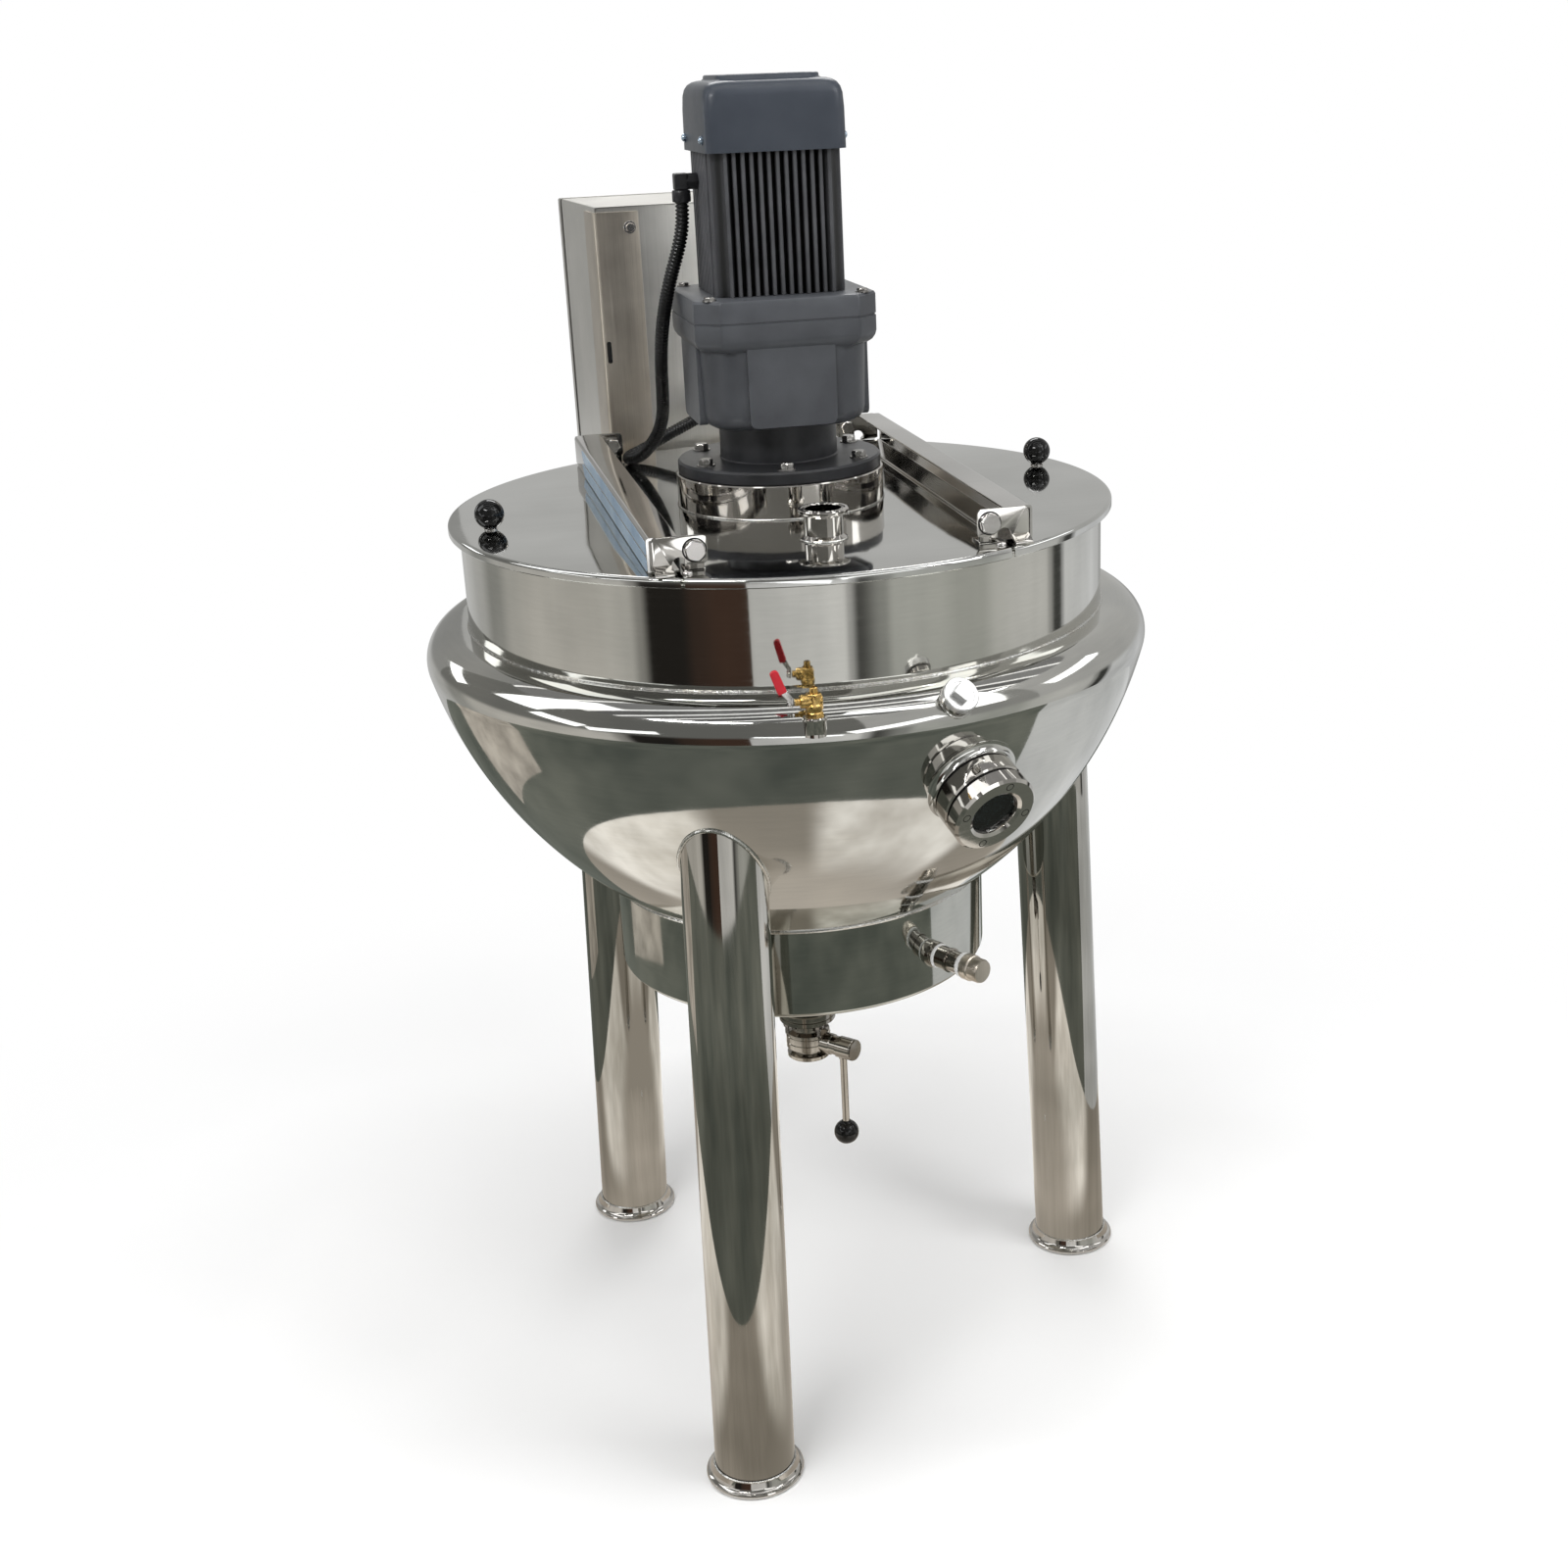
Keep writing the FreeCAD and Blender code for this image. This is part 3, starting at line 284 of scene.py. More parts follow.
def brass_finish():
    """Machined brass, duller where it has been handled."""
    finish = Finish("cock_brass", "brass", Metallic=1.0)
    place = finish.place()
    stain = finish.noise(place, 120.0, 4.0, 0.6)
    finish.feed("Base Color", finish.ramp(stain, (0.3, (0.50, 0.30, 0.08)), (0.7, (0.80, 0.56, 0.22))))
    finish.feed("Roughness", 0.16 + stain * 0.22)
    finish.bump(finish.noise(place, 900.0), 0.00008)
    return finish


def weld_finish():
    """Dressed weld bead: faint straw tint over rippled silver."""
    finish = Finish("weld_bead", "polished_steel", Metallic=1.0)
    place = finish.place()
    ripple = finish.noise(place, 190.0, 2.0)
    heat = finish.noise(place, 26.0, 3.0, 0.6)
    tint = finish.ramp(heat, (0.40, (0.60, 0.60, 0.58)), (0.62, (0.55, 0.53, 0.49)),
                       (0.80, (0.45, 0.42, 0.38)))
    finish.feed("Base Color", tint)
    finish.feed("Roughness", 0.14 + ripple * 0.2)
    finish.bump(ripple, 0.0006)
    return finish


def pane_finish():
    """Toughened sight glass with a little residue, tinted near black as painted shade for the dark jacket
    behind it.
    """
    finish = Finish("sight_pane", "glass", Transmission_Weight=1.0, IOR=1.48)
    place = finish.place()
    film = finish.noise(place, 60.0, 3.0, 0.6)
    # Painted shade: the glass's tint is near black.
    finish.feed("Base Color", finish.ramp(film, (0.3, (0.020, 0.030, 0.032)), (0.7, (0.034, 0.048, 0.050))))
    finish.feed("Roughness", film * 0.02)
    return finish


blue_film, cock_brass, weld_bead, sight_pane = film_finish(), brass_finish(), weld_finish(), pane_finish()


# Shapes


def toward(origin, direction, roll=0.0):
    """A place whose own upward axis points along direction."""
    turn = Vector(direction).to_track_quat("Z", "Y").to_matrix().to_4x4()
    return Matrix.Translation(Vector(origin)) @ turn @ Matrix.Rotation(math.radians(roll), 4, "Z")


def upright(origin, across, out):
    """A place for an outline that stands upright: its x runs across, its y up, its depth out."""
    return Matrix.Translation(Vector(origin)) @ Matrix((across, UP, out)).transposed().to_4x4()


def round_about(direction, count):
    """Unit vectors all round a direction and square to it."""
    across = direction.orthogonal().normalized()
    other = direction.cross(across)
    turns = [2 * math.pi * i / count for i in range(count)]
    return [across * math.cos(t) + other * math.sin(t) for t in turns]


def polar(radius, degrees, level=0.0):
    turn = math.radians(degrees)
    return Vector((radius * math.cos(turn), radius * math.sin(turn), level))


def leaning(degrees, lean):
    return polar(math.cos(math.radians(lean)), degrees, math.sin(math.radians(lean)))


def mm(*numbers):
    """Points of a profile or outline, given as pairs in millimetres."""
    return [(a / 1000, b / 1000) for a, b in zip(numbers[::2], numbers[1::2])]


def arc(centre, radius, start, end, steps):
    """Points of an arc in a profile's plane, in degrees."""
    turns = [math.radians(start + (end - start) * i / steps) for i in range(steps + 1)]
    return [(centre[0] + radius * math.cos(t), centre[1] + radius * math.sin(t)) for t in turns]


def rounded(corners, radius, steps=4):
    """A closed outline with each corner rounded; a corner may carry its own radius."""
    points = []
    count = len(corners)
    for i in range(count):
        here = Vector(corners[i][:2])
        turn_radius = corners[i][2] if len(corners[i]) > 2 else radius
        back = Vector(corners[i - 1][:2]) - here
        ahead = Vector(corners[(i + 1) % count][:2]) - here
        angle = back.angle(ahead)
        cut = min(turn_radius / math.tan(angle / 2), back.length * 0.49, ahead.length * 0.49)
        if cut < 1e-6:
            points.append(tuple(here))
            continue
        a, b = here + back.normalized() * cut, here + ahead.normalized() * cut
        for s in range(steps + 1):
            t = s / steps
            points.append(tuple(a * (1 - t) ** 2 + here * 2 * t * (1 - t) + b * t * t))
    return points


def rounded_square(width, corner, steps=6, depth=None):
    w, d = width / 2, (depth or width) / 2
    return rounded([(-w, -d), (w, -d), (w, d), (-w, d)], corner, steps)


def linked(name, data):
    """A new object in the scene."""
    made = bpy.data.objects.new(name, data)
    bpy.context.scene.collection.objects.link(made)
    return made


def smooth(mesh, sharp=32):
    mesh.shade_smooth()
    mesh.set_sharp_from_angle(angle=math.radians(sharp))


class Shape:
    """A mesh under construction, in metres from the kettle's axis on the floor."""

    def __init__(self):
        self.bm = bmesh.new()

    def rings(self, rings, caps=True, loop=False):
        """Skin over rows of points. A row of one point closes to a tip."""
        rows = [[self.bm.verts.new(p) for p in ring] for ring in rings]
        pairs = list(zip(rows, rows[1:])) + ([(rows[-1], rows[0])] if loop else [])
        for low, high in pairs:
            count = max(len(low), len(high))
            for i in range(count):
                j = (i + 1) % count
                corners = [low[i % len(low)], low[j % len(low)], high[j % len(high)], high[i % len(high)]]
                face = list(dict.fromkeys(corners))
                if len(face) > 2:
                    self.bm.faces.new(face)
        if caps and not loop:
            for row in (rows[0], rows[-1]):
                if len(row) > 2:
                    self.bm.faces.new(row)
        return self

    def lathe(self, profile, place=ON_AXIS, turns=96, loop=True):
        """Turn an (r, z) profile about the place's own axis."""
        rings = []
        for radius, level in profile:
            if radius < 1e-7:
                rings.append([place @ Vector((0, 0, level))])
            else:
                rings.append([place @ polar(radius, 360 * i / turns, level) for i in range(turns)])
        tips = len(rings[0]) == 1 and len(rings[-1]) == 1
        return self.rings(rings, caps=False, loop=loop and not tips)

    def bar(self, outline, depth, place=ON_AXIS, soften=0.0, steps=2):
        """Extrude an outline along the place's own axis and soften its edges."""
        part = bmesh.new()
        floor = [part.verts.new((x, y, 0)) for x, y in outline]
        roof = [part.verts.new((x, y, depth)) for x, y in outline]
        part.faces.new(floor)
        part.faces.new(roof)
        for i in range(len(outline)):
            j = (i + 1) % len(outline)
            part.faces.new([floor[i], floor[j], roof[j], roof[i]])
        bmesh.ops.recalc_face_normals(part, faces=part.faces)
        if soften:
            sharp = [e for e in part.edges if e.calc_face_angle(0) > math.radians(35)]
            bmesh.ops.bevel(part, geom=sharp, offset=soften, segments=steps, profile=0.7, affect="EDGES")
        bmesh.ops.transform(part, matrix=place, verts=part.verts)
        mesh = bpy.data.meshes.new("part")
        part.to_mesh(mesh)
        part.free()
        self.bm.from_mesh(mesh)
        bpy.data.meshes.remove(mesh)
        return self

    def block(self, size, place=ON_AXIS, soften=0.001, steps=2):
        """A softened block that stands on its place, centred across it."""
        x, y, z = size[0] / 2, size[1] / 2, size[2]
        return self.bar([(-x, -y), (x, -y), (x, y), (-x, y)], z, place, soften, steps)

    def hex_head(self, flats, height, place, washer=0.0):
        """Hexagon head with chamfered corners, on its washer."""
        if washer:
            thick = 0.0016
            profile = [(0, 0), (washer, 0), (washer, 0.0012), (washer - 0.0004, thick), (0, thick)]
            self.lathe(profile, place, 40)
            place = place @ Matrix.Translation((0, 0, thick))
        far = flats / math.sqrt(3)
        rows = []
        sections = ((0, 1, 0), (height * 0.78, 1, 0), (height, 0.93, 0.75), (height, 0.8, 1))
        for level, share, circle in sections:
            ring = []
            for i in range(24):
                turn = 15 * i
                inside = flats / 2 / math.cos(math.radians((turn + 30) % 60 - 30))
                radius = min(inside, far) * (1 - circle) + flats / 2 * circle
                ring.append(place @ polar(radius * share, turn, level))
            rows.append(ring)
        return self.rings(rows)

    def dome_head(self, radius, height, place):
        """Round screw head."""
        edge = 0.25
        profile = [(0, 0), (radius, 0), (radius, height * edge)]
        profile += [(radius * math.cos(t), height * (edge + (1 - edge) * math.sin(t)))
                    for t in [math.pi / 2 * i / 8 for i in range(1, 8)]]
        return self.lathe(profile + [(0, height)], place, 32)

    def tube_along(self, points, radii, sides=12, loop=False):
        """Round bead or hose along a path, with one radius or several taken in turn."""
        rings = []
        count = len(points)
        side = None
        for i, here in enumerate(points):
            ahead = points[(i + 1) % count] if loop or i + 1 < count else here
            behind = points[i - 1] if loop or i else here
            direction = (ahead - behind).normalized()
            side = side or direction.orthogonal()
            side = (side - direction * side.dot(direction)).normalized()
            other = direction.cross(side)
            radius = radii[i % len(radii)]
            turns = [2 * math.pi * k / sides for k in range(sides)]
            rings.append([here + side * radius * math.cos(t) + other * radius * math.sin(t) for t in turns])
        return self.rings(rings, loop=loop)

    def mesh(self, name):
        """The finished mesh, moved to where the kettle stands in the frame."""
        bmesh.ops.recalc_face_normals(self.bm, faces=self.bm.faces)
        bmesh.ops.translate(self.bm, verts=self.bm.verts, vec=axis)
        mesh = bpy.data.meshes.new(name)
        self.bm.to_mesh(mesh)
        self.bm.free()
        return mesh

    def piece(self, name, finish, body="root", replaces=(), sharp=32):
        """Finish the mesh and put it on the body that it moves with."""
        mesh = self.mesh(name)
        mesh.materials.append(finish.material)
        smooth(mesh, sharp)
        piece = linked(name, mesh)
        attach(piece, body)
        if replaces:
            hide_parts(*replaces)
        return piece


def cut_away(piece, cutter):
    """Subtract a shape from a piece, for good."""
    tool = linked("cutter", cutter.mesh("cutter"))
    boolean = piece.modifiers.new("cut", "BOOLEAN")
    boolean.operation, boolean.object, boolean.solver = "DIFFERENCE", tool, "EXACT"
    depsgraph = bpy.context.evaluated_depsgraph_get()
    result = bpy.data.meshes.new_from_object(piece.evaluated_get(depsgraph))
    piece.modifiers.clear()
    piece.data = result
    smooth(result)
    bpy.data.objects.remove(tool)


def finish_node(node, finish):
    """Give a CAD piece that stays its finish."""
    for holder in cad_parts[node].material_slots:
        holder.material = finish.material


# Pot, jacket and drum

sheet = 0.003
knuckle_radius = 0.045
shoulder_flat = 0.018
knuckle_sweep = 17.0
bowl_mid = (0.444, 0.950)
pot_centre = 1.150
rim_radius = 0.457
rim_top = 1.3097
outlet_bore, outlet_tube = 0.0240, 0.0255


def circle_through(a, b, c):
    """Centre and radius of the circle through three profile points."""
    ax, ay, bx, by, cx, cy = *a, *b, *c
    d = 2 * (ax * (by - cy) + bx * (cy - ay) + cx * (ay - by))
    aa, bb, cc = ax * ax + ay * ay, bx * bx + by * by, cx * cx + cy * cy
    ux = (aa * (by - cy) + bb * (cy - ay) + cc * (ay - by)) / d
    uy = (aa * (cx - bx) + bb * (ax - cx) + cc * (bx - ax)) / d
    return (ux, uy), math.hypot(ax - ux, ay - uy)


def jacket_profile(inset=0.0):
    """Shoulder flat, knuckle and bowl, from the shell down to the drum."""
    bend = (shell_radius + shoulder_flat, shoulder_level - knuckle_radius)
    knuckle = arc(bend, knuckle_radius - inset, 90, -knuckle_sweep, 20)
    mid = (bowl_mid[0] - inset * 0.86, bowl_mid[1] + inset * 0.5)
    low = (drum_radius - inset, drum_top)
    centre, radius = circle_through(knuckle[-1], mid, low)
    start = math.degrees(math.atan2(knuckle[-1][1] - centre[1], knuckle[-1][0] - centre[0]))
    end = math.degrees(math.atan2(low[1] - centre[1], low[0] - centre[0]))
    return [(shell_radius, shoulder_level - inset)] + knuckle + arc(centre, radius, start, end, 56)[1:]


outer_profile = jacket_profile()


def jacket_radius_at(level):
    """Radius of the jacket's outside at a height, or 0 above and below it."""
    best = 0.0
    for (r0, z0), (r1, z1) in zip(outer_profile[1:], outer_profile[2:]):
        if min(z0, z1) <= level <= max(z0, z1) and abs(z1 - z0) > 1e-9:
            best = max(best, r0 + (r1 - r0) * (z0 - level) / (z0 - z1))
    return best


def reach_jacket(start, direction, reach, step, limit):
    """How far along a line the jacket's outside lies, looked for step by step."""
    while (limit - reach) * step > 0:
        point = start + direction * reach
        if math.hypot(point.x, point.y) < jacket_radius_at(point.z):
            break
        reach += step
    return reach


def round_weld(name, radius, level, bead, points, centre=(0, 0, 0)):
    """A round weld bead on a level circle."""
    seam = [Vector(centre) + polar(radius, 360 * i / points, level) for i in range(points)]
    Shape().tube_along(seam, [bead], 8, loop=True).piece(name, weld_bead)


sight_angle, sight_lean = -73.7, -25.0
sight_direction = leaning(sight_angle, sight_lean)
sight_base = polar(0.480, sight_angle, 1.024)
sight_window = 0.032


def jacket():
    quarters = ["jacket_front", "jacket_right", "jacket_back", "jacket_left"]
    shape = Shape().lathe(outer_profile + jacket_profile(sheet)[::-1], turns=288)
    piece = shape.piece("jacket", bowl_steel, replaces=quarters)
    through = [(0, -0.04), (sight_window, -0.04), (sight_window, 0.06), (0, 0.06)]
    cut_away(piece, Shape().lathe(through, toward(sight_base, sight_direction), 64))


def pot():
    half_rim, inner, upper_wall = 0.0035, shell_radius - sheet, 1.24
    low_turn = -math.degrees(math.acos(outlet_bore / shell_radius))
    outside = arc((0, pot_centre), shell_radius, low_turn, 0, 48)
    outside += [(shell_radius, 1.19), (shell_radius, upper_wall)]
    rim = [(shell_radius, rim_top - 0.0120), (shell_radius + 0.0020, rim_top - 0.0110)]
    rim += arc((rim_radius - half_rim, rim_top - half_rim), half_rim, -50, 90, 9)
    inside = [(inner, rim_top), (inner, upper_wall)] + arc((0, pot_centre), inner, 0, low_turn, 48)
    Shape().lathe(outside + rim + inside, turns=288).piece(
        "pot", shell_steel, replaces=["pot_wall", "pot_bowl", "pot_bottom"])
    round_weld("shoulder_weld", shell_radius + 0.0005, shoulder_level + 0.0005, 0.0022, 180)


def drum():
    edge, inner = 0.007, drum_radius - sheet
    base, pipe_hole = drum_bottom + 0.004, outlet_tube + 0.0001
    profile = [(drum_radius, drum_top), (drum_radius, drum_bottom + edge)]
    profile += arc((drum_radius - edge, drum_bottom + edge), edge, 0, -90, 5)[1:]
    profile += [(pipe_hole, drum_bottom), (pipe_hole, base), (drum_radius - 0.009, base),
                (inner, drum_bottom + 0.010), (inner, drum_top)]
    Shape().lathe(profile, turns=240).piece("drum", drum_steel, replaces=["drum_wall", "drum_base"])
    round_weld("drum_weld", drum_radius + 0.0005, drum_top, 0.003, 180)


# Legs and feet

leg_radius, leg_wall, leg_splay, feet_circle = 0.057, 0.003, 2.2, 0.446
leg_angles = {"front": -115.2, "right": 4.8, "back": 124.8}


def leg_axis(angle):
    foot = polar(feet_circle, angle)
    lean = math.tan(math.radians(leg_splay))
    return foot, (polar(-lean, angle) + UP).normalized()


def leg(name, angle):
    start, direction = leg_axis(angle)
    sides = round_about(direction, 96)
    lowest, step, highest = 0.60, 0.0005, 1.2
    tops = [reach_jacket(start + side * leg_radius, direction, lowest, step, highest) for side in sides]
    foot_level, set_in = 0.016, 0.004
    outside = [(leg_radius, share) for share in (0, 0.25, 0.5, 0.75, 0.9, 1.0)]
    inside = [(leg_radius - leg_wall, share) for share in (1.0, 0.5, 0)]
    rings = []
    for radius, share in outside + inside:
        levels = [foot_level + (top + set_in - foot_level) * share for top in tops]
        rings.append([start + side * radius + direction * level for side, level in zip(sides, levels)])
    Shape().rings(rings, loop=True).piece("leg_tube_" + name, leg_steel, replaces=["leg_" + name])
    bead = [start + side * (leg_radius + 0.0005) + direction * top for side, top in zip(sides, tops)]
    Shape().tube_along(bead, [0.0030], 10, loop=True).piece("leg_weld_" + name, weld_bead)


def stand():
    """Legs on clamp ferrules turned upside down, each with flat face, lip, bevel and neck."""
    feet, welds = Shape(), Shape()
    foot = mm(40, 0, 66.5, 0, 69.5, 1.5, 69.5, 5.2, 68.5, 6.6, 65, 7.8, 62.5, 10, 60.8, 14, 58.5, 20, 56, 20,
              55.5, 6, 40, 4)
    weld = mm(57.5, 19.5, 59.2, 20, 59.2, 21.2, 57.5, 22.2)
    for name, angle in leg_angles.items():
        leg(name, angle)
        place = Matrix.Translation(polar(feet_circle, angle))
        feet.lathe(foot, place)
        welds.lathe(weld, place)
    feet.piece("leg_feet", turned_steel, replaces=["feet"])
    welds.piece("foot_welds", weld_bead)


# Lid

lid_plate = 0.003
flap_seam, flap_gap = 0.2095, 0.005
channel_outer, channel_width, channel_height, channel_half = 0.246, 0.039, 0.045, 0.380
pivot_x, pivot_level, knob_x = 0.188, 1.340, 0.410
ferrule_y, ferrule_bore = -0.267, 0.0238


def lid_slice(x0, x1):
    """The part of the rolled-edge lid disc between two upright planes."""
    turn, under, inside = 0.005, lid_top - lid_plate, lid_radius - lid_plate
    profile = [(0, under), (0.25, under), (inside, under)]
    profile += [(inside, lid_top - 0.012), (lid_radius - 0.0015, lid_top - 0.013)]
    profile += [(lid_radius, lid_top - 0.0115)] + arc((lid_radius - turn, lid_top - turn), turn, 0, 90, 8)
    profile += [(0.35, lid_top), (0.2, lid_top), (0, lid_top)]
    shape = Shape().lathe(profile, turns=288)
    for x, side in ((x0, 1), (x1, -1)):
        everything = shape.bm.verts[:] + shape.bm.edges[:] + shape.bm.faces[:]
        cut = bmesh.ops.bisect_plane(shape.bm, geom=everything, plane_co=(x, 0, 0), plane_no=(-side, 0, 0),
                                     clear_outer=True)
        rim = [e for e in cut["geom_cut"] if isinstance(e, bmesh.types.BMEdge)]
        bmesh.ops.edgeloop_fill(shape.bm, edges=rim)
    return shape


def lid():
    half, near, past_rim = flap_seam - flap_gap / 2, flap_seam + flap_gap / 2, lid_radius + 0.01
    bridge = lid_slice(-half, half).piece("lid_middle", lid_steel, replaces=["lid_bridge"])
    low, high = lid_top - 0.01, lid_top + 0.01
    through = [(0, low), (ferrule_bore, low), (ferrule_bore, high), (0, high)]
    cut_away(bridge, Shape().lathe(through, Matrix.Translation((0, ferrule_y, 0)), 48))
    lid_slice(-past_rim, -near).piece("lid_flap_left", lid_steel, "flap_left", ["flap_left"])
    lid_slice(near, past_rim).piece("lid_flap_right", lid_steel, "flap_right", ["flap_right"])


def channel(side, name):
    """Bent sheet channel on a flap, open towards the middle of the lid."""
    wall, bend = 0.003, 0.005
    low, high = lid_top + 0.0002, lid_top + channel_height
    corners = [(channel_width, low), (0, low, bend), (0, high, bend), (channel_width, high),
               (channel_width, high - wall), (wall, high - wall, 0.002), (wall, low + wall, 0.002),
               (channel_width, low + wall)]
    place = upright((side * channel_outer, -channel_half, 0), (-side, 0, 0), (0, 1, 0))
    Shape().bar(rounded(corners, 0.0007), 2 * channel_half, place).piece(
        "channel_section_" + name, channel_steel, "flap_" + name, ["channel_" + name])


def films():
    """Two strips of blue film left on the left channel's web, with bare margins."""
    low, high = lid_top + 0.002, lid_top + channel_height - 0.006
    middle, half_gap, thick = (low + high) / 2, 0.002, 0.0006
    place = upright((-channel_outer - 0.0004, 0, 0), (0, 1, 0), (1, 0, 0))
    shape = Shape()
    for z0, z1 in ((low, middle - half_gap), (middle + half_gap, high)):
        strip = rounded([(-channel_half + 0.004, z0), (channel_half - 0.110, z0), (channel_half - 0.085, z1),
                         (-channel_half + 0.010, z1)], 0.008)
        shape.bar(strip, thick, place)
    shape.piece("film_strips", blue_film, "flap_left")


def bracket(shape, side, end):
    """Hinge bracket: rounded plate with a half-round notch and a curled foot."""
    top, low = lid_top + channel_height, lid_top + 0.010
    inner, outer, thick = 0.172, 0.240, 0.004
    notch_centre, notch = 0.207, 0.0095
    notch_edge = notch_centre + notch
    plate = rounded([(inner, low, 0.006), (inner, top, 0.008), (outer, top, 0.008),
                     (outer, low - 0.004, 0.002), (notch_edge, low - 0.004, 0.001)], 0.002)
    plate += arc((notch_centre, low), notch, 0, 180, 9)
    y = end * (channel_half + 0.0002)
    shape.bar(plate, thick, upright((0, y, 0), (side, 0, 0), (0, end, 0)), 0.0006)
    curled = mm(0, 8, 4, 6, 12, 3.5, 20, 0.5, 23.5, 0.2, 23.5, 3, 14, 7, 6, 10, 0, 12)
    place = upright((side * notch_edge, y, lid_top), (0, end, 0), (side, 0, 0))
    shape.bar(curled, outer - notch_centre - notch, place, 0.0006)


def brackets(side, name):
    plates = Shape()
    for end in (-1, 1):
        bracket(plates, side, end)
    plates.piece("bracket_plates_" + name, plate_steel, "flap_" + name, ["brackets_" + name])


def lugs():
    """Ears on the lid's middle with the flaps' pivot bolts, and a screw beside each bracket."""
    ears, bolts, screws, rubber = Shape(), Shape(), Shape(), Shape()
    inside, ear_thick = channel_half - 0.001, 0.005
    ear = rounded([(-0.012, 0, 0.0005), (0.012, 0, 0.0005), (0.012, 0.039, 0.011), (-0.012, 0.039, 0.011)],
                  0.01, 6)
    for side, end in ((-1, -1), (-1, 1), (1, -1), (1, 1)):
        x = side * pivot_x
        ears.bar(ear, ear_thick, upright((x, end * inside, lid_top), (1, 0, 0), (0, -end, 0)), 0.0006)
        base = (x, end * (inside - 0.015), lid_top)
        ears.block((0.026, 0.030, 0.003), Matrix.Translation(base), 0.0008)
        shank = toward((x, end * (inside - 0.008), pivot_level), (0, end, 0))
        bolts.lathe(mm(0, 0, 6, 0, 6, 15, 0, 15), shank, 32)
        head = toward((x, end * (channel_half + 0.0046), pivot_level), (0, end, 0), 12)
        bolts.hex_head(0.024, 0.0078, head, 0.0135)
        # A black rubber ring under each steel washer and wider than it: a washer, and a painted shade outline
        # round the head.
        rubber.lathe(mm(6.2, -0.6, 15.2, -0.6, 15.2, 0.4, 6.2, 0.4), head, 40)
        nut = toward((x, end * (inside - 0.0052), pivot_level), (0, -end, 0), 20)
        bolts.hex_head(0.019, 0.008, nut)
        screw = (side * 0.200, end * (channel_half + 0.014), lid_top + 0.0002)
        screws.dome_head(0.0065, 0.005, Matrix.Translation(screw))
    ears.piece("hinge_ears", plate_steel, replaces=["hinge_lugs"])
    bolts.piece("hinge_bolts", bolt_steel)
    screws.piece("edge_screws", bolt_steel)
    rubber.piece("hinge_shade_washers", gasket_rubber)


def knob(side, name, y):
    ball, neck = Shape(), Shape()
    base = Matrix.Translation((side * knob_x, y, lid_top))
    neck.lathe(mm(0, 0.2, 9.5, 0.2, 9.5, 1.6, 6.2, 2.4, 5.8, 8, 0, 8), base, 32)
    neck.piece("knob_neck_" + name, bolt_steel, "flap_" + name)
    profile = mm(0, 3, 7.8, 3, 8.6, 3.8)
    profile += arc((0, 0.021), 0.020, -62, 90, 28)[:-1] + [(0, 0.041)]
    ball.lathe(profile, base, 64)
    ball.piece("knob_ball_" + name, ball_black, "flap_" + name, ["knob_" + name])


# Drive

ring_top = ring_high.z
flange_top = ring_top + 0.018
neck_top = flange_top + 0.050
body_top = neck_top + 0.118
cover_top = body_top + 0.058
motor_top = cover_top + 0.184
pedestal_radius, flange_radius, neck_radius = 0.145, 0.142, 0.0815
case_corner, cover_width, cover_corner = 0.070, 0.248, 0.030


def pedestal():
    inner, outer, low, high = pedestal_radius - 0.016, pedestal_radius, lid_top, ring_top - 0.0001
    profile = [(inner, low + 0.0002), (outer - 0.001, low + 0.0002), (outer, low + 0.0012),
               (outer, ring_top - 0.0015), (outer - 0.0015, high), (inner, high)]
    Shape().lathe(profile, turns=192).piece("pedestal", turned_steel, replaces=["pedestal_ring"])
    round_weld("pedestal_weld", outer + 0.0002, low + 0.001, 0.0011, 120)


def stacked(sections):
    """Rows of points for level outlines, each given as (level, outline)."""
    return [[Vector((x, y, level)) for x, y in outline] for level, outline in sections]


def cover_outline(inset):
    """Square cover with cut corners, drawn in from its outside."""
    reach = cover_width / 2 - inset
    cut = reach - cover_corner
    return rounded([(-cut, -reach), (cut, -reach), (reach, -cut), (reach, cut), (cut, reach), (-cut, reach),
                    (-reach, cut), (-reach, -cut)], 0.008, 4)


